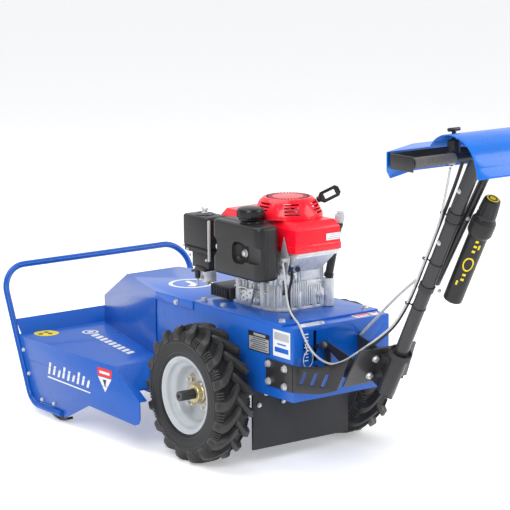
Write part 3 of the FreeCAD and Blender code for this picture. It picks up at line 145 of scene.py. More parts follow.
def surface(name, colour, roughness, metallic=0.0, coat=0.0, spread=0.12, blotch=30.0,
            grain=0.0, grain_scale=900.0, wear=0.0):
    """Procedural finish: uneven colour and roughness, fine grain, and paler worn edges."""
    material = bpy.data.materials.new(name)
    material.use_nodes = True
    tree = material.node_tree
    shader = tree.nodes["Principled BSDF"]
    socket(shader, "Metallic", metallic)
    socket(shader, "Coat Weight", coat)
    socket(shader, "Coat Roughness", 0.06)
    socket(shader, "Specular IOR Level", 0.3)
    place = tree.nodes.new("ShaderNodeTexCoord")
    patches = tree.nodes.new("ShaderNodeTexNoise")
    socket(patches, "Scale", blotch)
    socket(patches, "Detail", 6.0)
    tree.links.new(place.outputs["Object"], patches.inputs["Vector"])
    tone = tree.nodes.new("ShaderNodeValToRGB")
    tone.color_ramp.elements[0].position = 0.3
    tone.color_ramp.elements[1].position = 0.7
    tone.color_ramp.elements[0].color = [c * (1 - spread) for c in colour] + [1]
    tone.color_ramp.elements[1].color = [min(1, c * (1 + spread)) for c in colour] + [1]
    tree.links.new(patches.outputs["Fac"], tone.inputs["Fac"])
    finish = tree.nodes.new("ShaderNodeMapRange")
    socket(finish, "To Min", roughness * 0.85)
    socket(finish, "To Max", min(1, roughness * 1.2))
    tree.links.new(patches.outputs["Fac"], finish.inputs["Value"])
    tree.links.new(finish.outputs["Result"], shader.inputs["Roughness"])
    colour_out = tone.outputs["Color"]
    if wear:
        geometry = tree.nodes.new("ShaderNodeNewGeometry")
        edge = tree.nodes.new("ShaderNodeMapRange")
        socket(edge, "From Min", 0.52)
        socket(edge, "From Max", 0.60)
        socket(edge, "To Max", wear)
        tree.links.new(geometry.outputs["Pointiness"], edge.inputs["Value"])
        mix = tree.nodes.new("ShaderNodeMix")
        mix.data_type = "RGBA"
        mix.inputs["B"].default_value = [min(1, c * 1.5 + 0.03) for c in colour] + [1]
        tree.links.new(edge.outputs["Result"], mix.inputs["Factor"])
        tree.links.new(colour_out, mix.inputs["A"])
        colour_out = mix.outputs["Result"]
    tree.links.new(colour_out, shader.inputs["Base Color"])
    if grain:
        fine = tree.nodes.new("ShaderNodeTexNoise")
        socket(fine, "Scale", grain_scale)
        socket(fine, "Detail", 3.0)
        tree.links.new(place.outputs["Object"], fine.inputs["Vector"])
        bump = tree.nodes.new("ShaderNodeBump")
        socket(bump, "Strength", grain)
        socket(bump, "Distance", 0.0006)
        tree.links.new(fine.outputs["Fac"], bump.inputs["Height"])
        tree.links.new(bump.outputs["Normal"], shader.inputs["Normal"])
    return material


BLUE = surface("blue_paint", (0.0, 0.088, 0.44), 0.28, coat=0.2, spread=0.05, blotch=8,
               grain=0.06, grain_scale=500, wear=0.5)
HOOD_BLUE = surface("hood_paint", (0.0, 0.15, 0.66), 0.28, coat=0.2, spread=0.04, blotch=8,
                    grain=0.06, grain_scale=500, wear=0.4)
RED = surface("red_paint", (0.9, 0.004, 0.022), 0.28, coat=0.25, spread=0.05, blotch=12,
              grain=0.04, grain_scale=600, wear=0.3)
BLACK_PAINT = surface("black_paint", (0.014, 0.014, 0.016), 0.36, coat=0.25, spread=0.15,
                      grain=0.2, grain_scale=1100, wear=0.5)
PLASTIC = surface("moulded_plastic", (0.018, 0.018, 0.019), 0.33, spread=0.1, grain=0.2,
                  grain_scale=1600, wear=0.3)
GLOSS_PLASTIC = surface("gloss_plastic", (0.014, 0.014, 0.016), 0.24, spread=0.1, grain=0.08,
                        grain_scale=900)
TYRE = surface("tyre_rubber", (0.013, 0.013, 0.0135), 0.42, spread=0.3, blotch=22, grain=0.4,
               grain_scale=700, wear=1.0)
FLAP = surface("flap_rubber", (0.035, 0.035, 0.037), 0.6, spread=0.12, blotch=14, grain=0.5,
               grain_scale=400)
FOAM = surface("grip_foam", (0.13, 0.125, 0.12), 0.92, spread=0.25, blotch=260, grain=1.0,
               grain_scale=1400)
RIM = surface("rim_paint", (0.47, 0.50, 0.53), 0.36, coat=0.3, spread=0.05, blotch=30,
              grain=0.1, grain_scale=500, wear=0.2)
ZINC = surface("gold_zinc", (0.62, 0.52, 0.30), 0.36, metallic=0.7, spread=0.3, blotch=120,
               grain=0.2, grain_scale=900)
BRIGHT = surface("bright_steel", (0.60, 0.61, 0.63), 0.32, metallic=0.6, spread=0.12, blotch=160,
                 grain=0.12, grain_scale=1500)
DARK_STEEL = surface("dark_steel", (0.055, 0.055, 0.058), 0.45, metallic=0.6, spread=0.3,
                     blotch=60, grain=0.4, grain_scale=900, wear=0.6)
CAST = surface("cast_aluminium", (0.62, 0.64, 0.66), 0.42, metallic=0.4, spread=0.14, blotch=70,
               grain=0.7, grain_scale=1000, wear=0.5)
IRON = surface("cast_iron", (0.16, 0.16, 0.165), 0.6, metallic=0.4, spread=0.25, blotch=60,
               grain=0.8, grain_scale=700)
CABLE = surface("cable_sleeve", (0.50, 0.51, 0.53), 0.4, spread=0.1, blotch=200, grain=0.15)
WHITE = surface("white_label", (0.78, 0.79, 0.80), 0.4, spread=0.03, blotch=60, grain=0.05)
SILVER = surface("silver_label", (0.52, 0.54, 0.56), 0.35, metallic=0.3, spread=0.05, grain=0.05)
INK = surface("printed_black", (0.02, 0.02, 0.022), 0.45, spread=0.1)
YELLOW = surface("printed_yellow", (0.80, 0.62, 0.02), 0.45, spread=0.08)
LABEL_RED = surface("printed_red", (0.75, 0.02, 0.03), 0.42, spread=0.06)
NAVY = surface("dark_blue_plastic", (0.01, 0.018, 0.05), 0.4, spread=0.1, grain=0.1)
BELT = surface("belt_rubber", (0.03, 0.03, 0.03), 0.8, spread=0.2, grain=0.6)

NODE_MATERIALS = {
    "blue_paint": BLUE, "hood_paint": HOOD_BLUE, "black_steel": BLACK_PAINT, "rim_paint": RIM,
    "zinc": ZINC, "steel": BRIGHT, "dark_steel": DARK_STEEL, "cast_aluminium": CAST,
    "cast_iron": IRON, "red_shroud": RED, "black_plastic": PLASTIC,
    "gloss_black": GLOSS_PLASTIC, "grey_foam": FOAM, "rubber": FLAP, "tyre": TYRE,
    "belt": BELT, "cable_grey": CABLE,
}
SLOT_OF = {row["node"]: row["material_slot"] for row in frame["record"]["subparts"]}
BODY_OF = {node: body for body, members in frame["record"]["behaviour"]["bodies"].items()
           for node in members}


def put(thing, material, body, replaces=()):
    """Give a piece its material and its body, and hide the nodes that it stands for."""
    thing.data.materials.clear()
    thing.data.materials.append(material)
    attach(thing, body)
    if replaces:
        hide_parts(*replaces)
    return thing


# ---------------------------------------------------------------- cords
def route_curve(name, route, radius):
    data = bpy.data.curves.new(name, "CURVE")
    data.dimensions = "3D"
    data.bevel_depth = radius * MM
    data.bevel_resolution = 4
    data.resolution_u = 12
    data.use_fill_caps = True
    spline = data.splines.new("NURBS")
    spline.points.add(len(route) - 1)
    for control, place in zip(spline.points, route):
        control.co = (*point(*place), 1)
    spline.order_u = 3
    spline.use_endpoint_u = True
    return linked(name, data)


def centreline(route):
    """Points along the route's own smooth line."""
    thin = route_curve("route_only", route, 0.0)
    line = bpy.data.meshes.new_from_object(thin)
    found = [vertex.co.copy() for vertex in line.vertices]
    bpy.data.objects.remove(thin)
    return found


def line_length(line):
    return sum((b - a).length for a, b in zip(line, line[1:]))


def ribbed_tube(name, line, radius, rib, pitch):
    """Corrugated tube along a line: its radius swells once every pitch."""
    places, total = [], line_length(line)
    count = int(total / (pitch * MM)) * 2
    spacing, walked, index = total / count, 0.0, 0
    for step in range(count + 1):
        target = min(step * spacing, total - 1e-9)
        while walked + (line[index + 1] - line[index]).length < target:
            walked += (line[index + 1] - line[index]).length
            index += 1
        piece = line[index + 1] - line[index]
        places.append((line[index] + piece.normalized() * (target - walked), piece.normalized()))
    mesh, rings = bmesh.new(), []
    for step, (place, way) in enumerate(places):
        across = way.cross(LEFT).normalized()
        beside = way.cross(across)
        reach = (radius if step % 2 else radius - rib) * MM
        rings.append([mesh.verts.new(place + (across * math.cos(turn)
                                              + beside * math.sin(turn)) * reach)
                      for turn in around(14)])
    skin(mesh, rings)
    bmesh.ops.recalc_face_normals(mesh, faces=mesh.faces)
    thing = from_bmesh(name, mesh)
    for face in thing.data.polygons:
        face.use_smooth = True
    return thing


def along_column(rows):
    return [tuple(column(*row)) for row in rows]


THROTTLE_ROUTE = [(-192, 102, 606), (-206, 107, 574), (-220, 112, 530), (-240, 121, 486),
                  (-284, 137, 462), (-330, 150, 452), (-356, 152, 416), (-371, 132, 368),
                  (-404, 101, 338), (-438, 80, 350), (-476, 64, 378), (-520, 54, 410),
                  (-566, 45, 444)] + along_column(
    [(33, 33, 215), (22, 27, 290), (19, 26, 365), (20, 25, 440), (18, 26, 515),
     (20, 27, 590)]) + [(-826, 48, 852), (-874, 78, 908), (-914, 104, 960)]
CONDUIT_ROUTE = [(-330, -70, 386), (-366, -64, 412), (-402, -58, 439), (-480, -44, 497),
                 (-560, -32, 556), (-640, -18, 606)]
LOOM_ROUTE = [(-337, 96, 322), (-372, 96, 316), (-412, 92, 322), (-452, 82, 340),
              (-492, 66, 372), (-534, 46, 414)] + along_column(
    [(38, 24, 200), (28, 17, 270), (26, 14, 345), (25, 16, 420), (26, 15, 495), (25, 16, 570),
     (26, 15, 645), (25, 17, 715), (27, 20, 775)])


def make_cords():
    for name, route, radius in (("throttle_cable", THROTTLE_ROUTE, 3.0),
                                ("clutch_conduit", CONDUIT_ROUTE, 4.0)):
        cable = route_curve(name + "_sleeve", route, radius)
        put(cable, CABLE, CHASSIS, [name])
        length = line_length(centreline(route))
    line = centreline(LOOM_ROUTE)
    loom = ribbed_tube("control_loom_sleeve", line, 5.0, 0.7, 4.4)
    put(loom, PLASTIC, CHASSIS, ["control_loom"])


make_cords()


# ---------------------------------------------------------------- mesh building
class Piece:
    """Closed shapes gathered into one mesh. Coordinates are drawing millimetres."""

    def __init__(self):
        self.mesh = bmesh.new()

    def prism(self, corners, way):
        """Flat outline swept by a vector."""
        low = [self.mesh.verts.new(point(*corner)) for corner in corners]
        high = [self.mesh.verts.new(v.co + Vector(way) * MM) for v in low]
        self.mesh.faces.new(list(reversed(low)))
        self.mesh.faces.new(high)
        count = len(low)
        for i in range(count):
            after = (i + 1) % count
            self.mesh.faces.new((low[i], low[after], high[after], high[i]))
        return self

    def box(self, low, high):
        (x0, y0, z0), (x1, y1, z1) = low, high
        return self.prism([(x0, y0, z0), (x1, y0, z0), (x1, y1, z0), (x0, y1, z0)],
                          (0, 0, z1 - z0))

    def turned(self, centre, axis, profile, sides=32):
        """Profile of (radius, distance along the axis) pairs turned about the axis."""
        axis = Vector(axis).normalized()
        across = axis.orthogonal().normalized()
        beside = axis.cross(across)
        middle = point(*centre)
        rings = []
        for radius, reach in profile:
            here = middle + axis * reach * MM
            if radius < 1e-6:
                rings.append([self.mesh.verts.new(here)])
                continue
            rings.append([self.mesh.verts.new(
                here + (across * math.cos(turn) + beside * math.sin(turn)) * radius * MM)
                for turn in around(sides)])
        for low, high in zip(rings, rings[1:]):
            for i in range(sides):
                after = (i + 1) % sides
                corners = [low[i % len(low)], low[after % len(low)], high[after % len(high)],
                           high[i % len(high)]]
                distinct = list(dict.fromkeys(corners))
                if len(distinct) > 2:
                    self.mesh.faces.new(distinct)
        if len(rings[0]) > 1 and len(rings[-1]) > 1:
            if profile[0] == profile[-1]:
                for low, high in zip(rings[0], rings[-1]):
                    bmesh.ops.weld_verts(self.mesh, targetmap={high: low})
            else:
                self.mesh.faces.new(list(reversed(rings[0])))
                self.mesh.faces.new(rings[-1])
        return self

    def rod(self, start, end, radius, far=None, sides=20):
        start, end = Vector(start), Vector(end)
        reach = (end - start).length
        return self.turned(start, end - start,
                           [(radius, 0), (radius if far is None else far, reach)], sides)

    def bolt(self, seat, axis, size=6.0, washer=True):
        """Hexagon head with a domed top on its washer."""
        base = 1.4 if washer else 0.0
        if washer:
            self.turned(seat, axis, [(size * 1.45, 0), (size * 1.45, 1.0), (size * 1.3, 1.4)], 24)
        self.turned(Vector(seat) + Vector(axis).normalized() * base, axis,
                    [(size * 1.12, 0), (size * 1.12, size * 0.6), (size * 0.9, size * 0.75)], 6)

    def label(self, corners, normal, lift=0.25, thick=0.25):
        """Thin sticker on a flat face."""
        normal = Vector(normal).normalized()
        return self.prism([Vector(c) + normal * lift for c in corners], normal * thick)

    def disc(self, centre, axis, radius, low, high, sides=24):
        """Flat disc between two distances along the axis."""
        return self.turned(centre, axis, [(0, low), (radius, low), (radius, high), (0, high)],
                           sides)

    def hoop(self, centre, axis, inner, outer, low, high, sides):
        """Flat ring between two radii and two distances along the axis."""
        return self.turned(centre, axis, [(inner, low), (outer, low), (outer, high),
                                          (inner, high), (inner, low)], sides)

    def make(self, name, material, slot, bevel=0.0, segments=2, body=CHASSIS, replaces=(),
             sharp=32):
        bmesh.ops.recalc_face_normals(self.mesh, faces=self.mesh.faces)
        thing = from_bmesh(name, self.mesh)
        soften(thing, bevel, segments, sharp)
        return put(thing, material, body, replaces)


def soften(thing, width, segments=2, sharp=32):
    """Round the sharp edges and shade the rest smooth; the result is applied to the mesh."""
    if width:
        rounding = thing.modifiers.new("rounding", "BEVEL")
        rounding.width = width * MM
        rounding.segments = segments
        rounding.limit_method = "ANGLE"
        rounding.angle_limit = math.radians(28)
        rounding.harden_normals = False
        apply_modifiers(thing)
    mesh = bmesh.new()
    mesh.from_mesh(thing.data)
    for face in mesh.faces:
        face.smooth = True
    for edge in mesh.edges:
        edge.smooth = len(edge.link_faces) == 2 and edge.calc_face_angle(0) < math.radians(sharp)
    mesh.to_mesh(thing.data)
    mesh.free()


def apply_modifiers(thing):
    bpy.context.view_layer.update()
    graph = bpy.context.evaluated_depsgraph_get()
    done = bpy.data.meshes.new_from_object(thing.evaluated_get(graph))
    thing.modifiers.clear()
    thing.data = done


def clean_copy(node):
    """The node's shape as a new mesh of whole faces instead of triangles."""
    mesh = bmesh.new()
    mesh.from_mesh(frame["nodes"][node].data)
    bmesh.ops.remove_doubles(mesh, verts=mesh.verts, dist=0.00002)
    bmesh.ops.dissolve_limit(mesh, angle_limit=math.radians(1.2), verts=mesh.verts,
                             edges=mesh.edges)
    thing = from_bmesh(node + "_finished", mesh)
    layers = thing.data.attributes
    for layer in [a for a in layers if a.name == "custom_normal"]:
        layers.remove(layer)
    return thing


def finished(node, width, segments=2, sharp=32):
    """Stand-in for a CAD node with its edges rounded as on the made piece."""
    thing = clean_copy(node)
    soften(thing, width, segments, sharp)
    slot = SLOT_OF[node]
    return put(thing, NODE_MATERIALS[slot], BODY_OF[node], [node])


for node, thing in frame["nodes"].items():
    thing.data.materials.clear()
    thing.data.materials.append(NODE_MATERIALS[SLOT_OF[node]])

for node, width in (("chassis_shell", 1.2), ("engine_plate", 1.0), ("deck_top", 1.0),
                    ("side_plates", 1.0), ("belt_cover", 1.0), ("rear_flap", 1.2),
                    ("bracket_arms", 0.9), ("column_mount", 0.9), ("hand_straps", 0.8),
                    ("hand_guards", 0.8), ("frame_bolts", 0.5), ("skid_shoes", 1.0),
                    ("drive_lever", 0.8), ("blade_lever", 0.8), ("gear_lever", 0.8),
                    ("muffler", 1.5), ("carburettor", 1.2), ("wheel_hubs", 0.8),
                    ("engine_block", 1.5), ("gearbox", 1.5),
                    ("recoil_grip", 2.5), ("recoil_cover", 0.5), ("console_hood", 1.0),
                    ("filter_wing_nut", 0.8), ("handlebar", 0.6),
                    ("release_plunger", 0.8), ("front_bumper", 0.4), ("dipstick", 1.5)):
    finished(node, width, 3 if width > 1.4 else 2)


# ---------------------------------------------------------------- wheels
WHEEL_Y = 266


def make_tyre(side, name):
    wheel_y = side * WHEEL_Y
    tyre = Piece()
    outside = [(105, 47), (112, 50), (118, 52.5), (124, 56.5), (134, 58.2), (146, 59),
               (158, 58.8), (168, 57.5), (175, 54), (180, 48), (183, 40), (185, 28), (186.5, 12),
               (187, 0)]
    outer = outside + [(r, -a) for r, a in reversed(outside[:-1])]
    inner = [(105, -40), (130, -50), (160, -51), (174, -42), (180, 0), (174, 42), (160, 51),
             (130, 50), (105, 40), (105, 47)]
    tyre.turned((0, wheel_y, WHEEL_Z), (0, side, 0), outer + inner, 96)
    for half, start in ((1, 0), (-1, 10)):
        for turn in around(18, start):
            tyre_lug(tyre, wheel_y, side * half, turn)
    for ring_radius, ring_out in ((126, 58.6), (156, 60.8)):
        for half in (1, -1):
            tyre.turned((0, wheel_y, WHEEL_Z), (0, side * half, 0),
                        [(ring_radius, ring_out - 3), (ring_radius, ring_out - 1.2),
                         (ring_radius + 1.5, ring_out - 0.9), (ring_radius + 3, ring_out - 3),
                         (ring_radius, ring_out - 3)], 96)
    tyre.make("tyre_%s_lugged" % name, TYRE, "tyre", body=WHEELS, replaces=["tyre_" + name],
              sharp=38)


def tyre_lug(tyre, wheel_y, side, turn):
    """One bar of the tread: straight over the shoulder, then slanting to the middle."""
    sections = ((0.0, 59.2, 164.0, 172.0, 9.0), (0.0, 58.4, 166.0, 189.0, 10.5),
                (0.3, 54.0, 172.0, 197.5, 11.5), (1.0, 46.0, 178.0, 201.5, 12.0),
                (3.0, 34.0, 182.0, 203.8, 12.0), (8.0, 18.0, 184.0, 203.8, 11.5),
                (14.5, 0.0, 184.0, 203.8, 10.5), (16.5, -6.0, 184.0, 201.0, 9.0))
    rings = []
    for lead, out, low, high, half_wide in sections:
        ring = []
        middle = turn + math.radians(lead)
        for reach, wide in ((low, half_wide + 3), (high - 2.5, half_wide), (high, half_wide - 2)):
            ring.append((reach, middle - wide / reach, out))
        for reach, wide in ((high, half_wide - 2), (high - 2.5, half_wide), (low, half_wide + 3)):
            ring.append((reach, middle + wide / reach, out))
        rings.append([tyre.mesh.verts.new(point(-r * math.cos(a), wheel_y + side * y,
                                                WHEEL_Z + r * math.sin(a)))
                      for r, a, y in ring])
    skin(tyre.mesh, rings)
    for step in range(3):
        centre = turn + math.radians(7.5 + 2.6 * step)
        small = []
        for out, low, high in ((57, 170, 175.5), (50, 174, 184.5), (44, 178, 189)):
            for reach in (low, high):
                for wide in (-1.6, 1.6):
                    angle = centre + wide / reach
                    small.append(tyre.mesh.verts.new(point(
                        -reach * math.cos(angle), wheel_y + side * out,
                        WHEEL_Z + reach * math.sin(angle))))
        for row in (0, 4):
            a, b, c, d = small[row:row + 4]
            e, f, g, h = small[row + 4:row + 8]
            for corners in ((c, d, h, g), (a, c, g, e), (d, b, f, h), (b, a, e, f)):
                tyre.mesh.faces.new(corners)
        tyre.mesh.faces.new((small[0], small[1], small[3], small[2]))
        tyre.mesh.faces.new((small[8], small[10], small[11], small[9]))


def make_rim(side, name):
    rim = Piece()
    outer = [(104, 43), (112, 45), (115.5, 48), (116, 51.5), (114.5, 53.8), (112, 54),
             (109.5, 52.5), (107, 49.5), (102.5, 48), (100.5, 45), (99.5, 38), (98, 33),
             (92, 30), (86, 26), (83, 20), (82, 10), (79, 3), (74, -0.5), (68, -2), (60, -1.6),
             (54, 0.2), (44, 0.6), (34, 0.4), (32, -0.5), (32, -3.5), (54, -3.0), (68, -6),
             (80, -3), (86, 6), (87, -20), (96, -30), (99.5, -38), (100.5, -46), (108, -50),
             (112, -54), (115, -53.5), (116, -50), (112, -45), (104, -43), (103.5, -34),
             (92, -22), (90, 0), (90, 20), (98, 30), (103.5, 36), (104, 43)]
    rim.turned((0, side * WHEEL_Y, WHEEL_Z), (0, side, 0),
               [(r, a - 4) if r < 80 else (r, a) for r, a in outer], 96)
    rim.make("rim_%s_dished" % name, RIM, "rim_paint", body=WHEELS, replaces=["rim_" + name],
             sharp=50)


def make_wheel_details(side, name):
    nuts, disc = Piece(), side * (WHEEL_Y - 4)
    for angle in around(4, 45):
        x, z = 50.8 * math.cos(angle), WHEEL_Z + 50.8 * math.sin(angle)
        nuts.rod((x, disc, z), (x, disc + side * 22, z), 4.6, sides=16)
        nuts.turned((x, disc + side * 0.5, z), (0, side, 0),
                    [(13.5, 0), (13.5, 1.4), (10.4, 3.6), (10.4, 3.6)], 28)
        nuts.turned((x, disc + side * 3.6, z), (0, side, 0), [(9.8, 0), (9.8, 6.5), (8.2, 8)], 6)
    nuts.make("wheel_nuts_" + name, BRIGHT, "steel", 0.5, body=WHEELS)
    collar = Piece()
    collar.turned((0, disc + side * 2, WHEEL_Z), (0, side, 0),
                  [(15.4, 0), (31, 0), (31, 5), (28, 8), (27.5, 21), (26, 23), (15.4, 23),
                   (15.4, 0)], 48)
    collar.bolt((0, disc + side * 12, WHEEL_Z - 27), (0, 0, -1), 4, washer=False)
    collar.make("hub_collar_" + name, ZINC, "zinc", 0.5, body=WHEELS)
    slot = Piece()
    slot.box((-26, disc + side * 2, WHEEL_Z - 41), (-16, disc + side * 2.4, WHEEL_Z - 34))
    slot.make("disc_slot_" + name, INK, "rim_paint", body=WHEELS)


for side, name in ((1, "left"), (-1, "right")):
    make_tyre(side, name)
    make_rim(side, name)
    make_wheel_details(side, name)


# ---------------------------------------------------------------- engine
RECOIL = Vector((-85, 0, 0))
FILLER = Vector((-93, 142, 0))


def carve(thing, *cutters):
    """Cut closed pieces out of a thing."""
    for cutter in cutters:
        cut = thing.modifiers.new("cut", "BOOLEAN")
        cut.operation = "DIFFERENCE"
        cut.solver = "EXACT"
        cut.use_self = True
        cut.object = cutter
        apply_modifiers(thing)
        bpy.data.objects.remove(cutter)
    soften(thing, 0)


def cutter(piece, bevel=0.0, segments=4):
    """A closed piece that is only used to carve another."""
    return piece.make("cutter", INK, "rubber", bevel, segments)


def soft_plan(x_low, x_high, y_low, y_high, radius, steps=8):
    """Rectangle with round corners, as (x, y) pairs."""
    corners = []
    for x, y, start in ((x_high - radius, y_high - radius, 0), (x_low + radius, y_high - radius, 90),
                        (x_low + radius, y_low + radius, 180),
                        (x_high - radius, y_low + radius, 270)):
        for step in range(steps + 1):
            angle = math.radians(start + 90 * step / steps)
            corners.append((x + radius * math.cos(angle), y + radius * math.sin(angle)))
    return corners


def make_shroud():
    """Pressed shroud: sloping top edge, straight wall and a skirt stepped out below."""
    shell, rings = Piece(), []
    for inset, z in ((0.0, 627), (0.0, 646), (1.6, 648), (2.4, 694), (15.0, 714)):
        outline = ((-230 + inset, -84 + inset), (150 - inset, -84 + inset),
                   (150 - inset, 76 - inset), (-10, 76 - inset), (-30, 84 - inset),
                   (-230 + inset, 84 - inset))
        rings.append([shell.mesh.verts.new(point(x, y, z)) for x, y in outline])
    skin(shell.mesh, rings)
    shroud = shell.make("shroud_pressed", RED, "red_shroud", 5, 4,
                        replaces=["engine_shroud"])
    room = cutter(Piece().box((-224, -78, 600), (144, 70, 700)))
    throat = cutter(Piece().rod((-80, 0, 690), (-80, 0, 730), 80, sides=64))
    carve(shroud, room, throat)
    plate = Piece()
    plate.prism([(-230.4, -28, 656), (-230.4, -81, 656), (-230.4, -81, 676), (-230.4, -28, 676)],
                (0.9, 0, 0))
    plate.make("shroud_label", WHITE, "red_shroud", 0.3)
    lines = Piece()
    for number in range(3):
        low = 659.5 + 5.4 * number
        lines.prism([(-230.6, -33 - 6 * number, low), (-230.6, -78, low),
                     (-230.6, -78, low + 2.2), (-230.6, -33 - 6 * number, low + 2.2)],
                    (0.4, 0, 0))
    lines.make("shroud_label_lines", SILVER, "red_shroud")
    flange = Piece()
    flange.box((-226, -80, 618), (146, 72, 627))
    flange.box((-20, 60, 600), (60, 72, 620))
    hopper = (((-165, -62), (-20, -62), (-20, 62), (-165, 62)),
              ((-222, -76), (0, -76), (0, 76), (-222, 76)))
    skin(flange.mesh, [[flange.mesh.verts.new(point(x, y, z)) for x, y in corners]
                       for corners, z in zip(hopper, (560, 619))])
    flange.make("shroud_flange", CAST, "cast_aluminium", 2.5, 3)


def make_recoil_details():
    """Buttresses, the base step and the vanes on top of the starter housing."""
    ribs = Piece()
    for angle in around(6, 120):
        across = Vector((-math.sin(angle), math.cos(angle), 0))
        way = Vector((math.cos(angle), math.sin(angle), 0))
        rows = ((101, 716, 12), (97, 734, 9), (84, 760, 6), (70, 771, 5))
        outer, inner = [], []
        for reach, z, wide in rows:
            outer.append([RECOIL + way * reach + across * w + UP * z for w in (-wide, wide)])
            inner.append([RECOIL + way * (reach - 14) + across * w + UP * (z - 5)
                          for w in (-wide, wide)])
        for k in range(3):
            corners = []
            for row in (inner[k], outer[k], inner[k + 1], outer[k + 1]):
                corners.append([ribs.mesh.verts.new(point(*place)) for place in row])
            a, b, c, d = corners
            for face in ((b[0], b[1], d[1], d[0]), (a[1], a[0], c[0], c[1]),
                         (a[0], b[0], d[0], c[0]), (b[1], a[1], c[1], d[1]),
                         (a[0], a[1], b[1], b[0]), (c[1], c[0], d[0], d[1])):
                ribs.mesh.faces.new(face)
    ribs.turned(RECOIL + UP * 714.6, UP, [(90, 0), (103, 0), (103, 3.5), (99, 6.5), (90, 6.5),
                                      (90, 0)], 72)
    ribs.turned(RECOIL + UP * 770.5, UP, [(20, 0), (20, 1.4), (38, 1.4), (40, 0), (20, 0)], 64)
    ribs.make("recoil_ribs", RED, "red_shroud", 1.4, 3)
    vanes = Piece()
    for angle in around(40):
        way = Vector((math.cos(angle), math.sin(angle), 0))
        across = Vector((-way.y, way.x, 0))
        corners = ((46, -1.5, 771.6), (64, -2.1, 771.4), (64, 2.1, 771.4), (46, 1.5, 771.6))
        vanes.prism([RECOIL + way * r + across * w + UP * z for r, w, z in corners],
                    (0, 0, 0.7))
    vanes.make("recoil_vanes", INK, "red_shroud")


def make_tank():
    """Moulded tank with soft corners, a parting ridge and two bolt pockets."""
    plan = soft_plan(-194, 40, 108, 190, 26)
    tank = Piece().prism([(x, y, 550) for x, y in plan], (0, 0, 160))
    body = tank.make("tank_moulded", PLASTIC, "black_plastic", 11, 4,
                     replaces=["fuel_tank"])
    pocket = Piece().box((-132, 165, 594), (-66, 230, 658))
    edge_pocket = Piece().box((8, 165, 600), (80, 230, 658))
    flare = Piece().prism([(-120, 172, 602), (-120, 215, 602), (-120, 215, 652), (-120, 172, 652)],
                          (-90, 8, 0))
    filler = Piece().rod(FILLER + UP * 660, FILLER + UP * 730, 20, sides=48)
    carve(body, cutter(pocket, 22, 5), cutter(edge_pocket, 18, 5), cutter(flare, 8),
          cutter(filler))
    neck = Piece()
    neck.turned(FILLER + UP * 707, UP, [(20, 0), (31, 0), (31, 5), (28, 9), (24, 9),
                                             (24, 18), (20, 18), (20, 0)], 64)
    neck.make("tank_neck", PLASTIC, "black_plastic", 0.8)
    ridge = Piece()
    ridge.box((-194.8, 154, 562), (-190, 156.4, 698))
    ridge.box((-180, 154, 706), (26, 156.4, 710.8))
    ridge.make("tank_ridge", PLASTIC, "black_plastic", 0.6)
    bolts = Piece()
    bolts.bolt((-98, 165, 622), LEFT, 8.5)
    bolts.bolt((31, 165, 624), LEFT, 8.5)
    bolts.make("tank_bolts", BRIGHT, "steel", 0.8, 3)


def make_fuel_cap():
    """Ridged cap with a domed top over its collar."""
    cap = Piece()
    cap.turned(FILLER + UP * 718, UP, [(25, 0), (34, 0), (35, 7), (39, 9), (40, 27),
                                            (37, 33), (30, 36), (16, 38.5), (0, 39),
                                            (0, 20), (25, 20), (25, 0)], 72)
    for angle in around(30):
        foot = FILLER + Vector((39 * math.cos(angle), 39 * math.sin(angle), 728))
        cap.rod(foot, foot + UP * 18, 1.7, sides=8)
    cap.make("fuel_cap_ridged", GLOSS_PLASTIC, "gloss_black", 0.5, body=BODY_OF["fuel_cap"],
             replaces=["fuel_cap"])


def make_air_cleaner():
    """Filter box with its lid seam, the duct below, and the fuel bowl's small parts."""
    case = Piece().box((98, 80, 600), (226, 160, 697))
    case.make("filter_lid", PLASTIC, "black_plastic", 9, 4, replaces=["air_cleaner"])
    lower = Piece().box((101, 83, 584), (223, 157, 606))
    lower.box((112, 84, 538), (196, 148, 590))
    lower.make("filter_case", PLASTIC, "black_plastic", 5, 3)
    seam = Piece().box((97.4, 79.4, 598.4), (226.6, 160.6, 600.6))
    seam.box((128, 82, 530), (176, 150.5, 544))
    seam.turned((166, 120, 694), UP, [(10, 0), (30, 0), (30, 4.6), (27, 5.4), (24, 3.2),
                                             (10, 3.2), (10, 0)], 48)
    seam.make("filter_seam", GLOSS_PLASTIC, "black_plastic", 0.8)
    strip = Piece().box((94, 150, 566), (101, 159, 690))
    strip.make("filter_strip", CABLE, "cable_grey", 3, 3)
    small = Piece()
    for x, z in ((204, 590), (204, 571), (120, 566)):
        small.bolt((x, 157 if z > 580 else 148, z), LEFT, 3.4)
    small.disc((171, 104, 489), UP, 6, 0, 3, 6)
    small.make("filter_screws", BRIGHT, "steel", 0.4)
    boot = Piece()
    boot.rod((192, 130, 500), (192, 130, 533), 8, 10)
    boot.rod((205, 128, 522), (224, 128, 517), 4)
    boot.make("intake_boot", PLASTIC, "black_plastic", 1.5, 3)
    hanger = Piece()
    hanger.rod((192, 130, 474), (192, 130, 501), 3.6)
    hanger.make("intake_rod", CABLE, "cable_grey", 0.8)
    drain = Piece()
    drain.turned((171, 127.4, 504), LEFT, [(0, 0), (6, 0), (6, 4), (3, 4), (3, 7), (0, 7)], 6)
    drain.rod((150, 114, 492), (150, 126, 488), 4.5)
    drain.make("fuel_drain", ZINC, "zinc", 0.5)


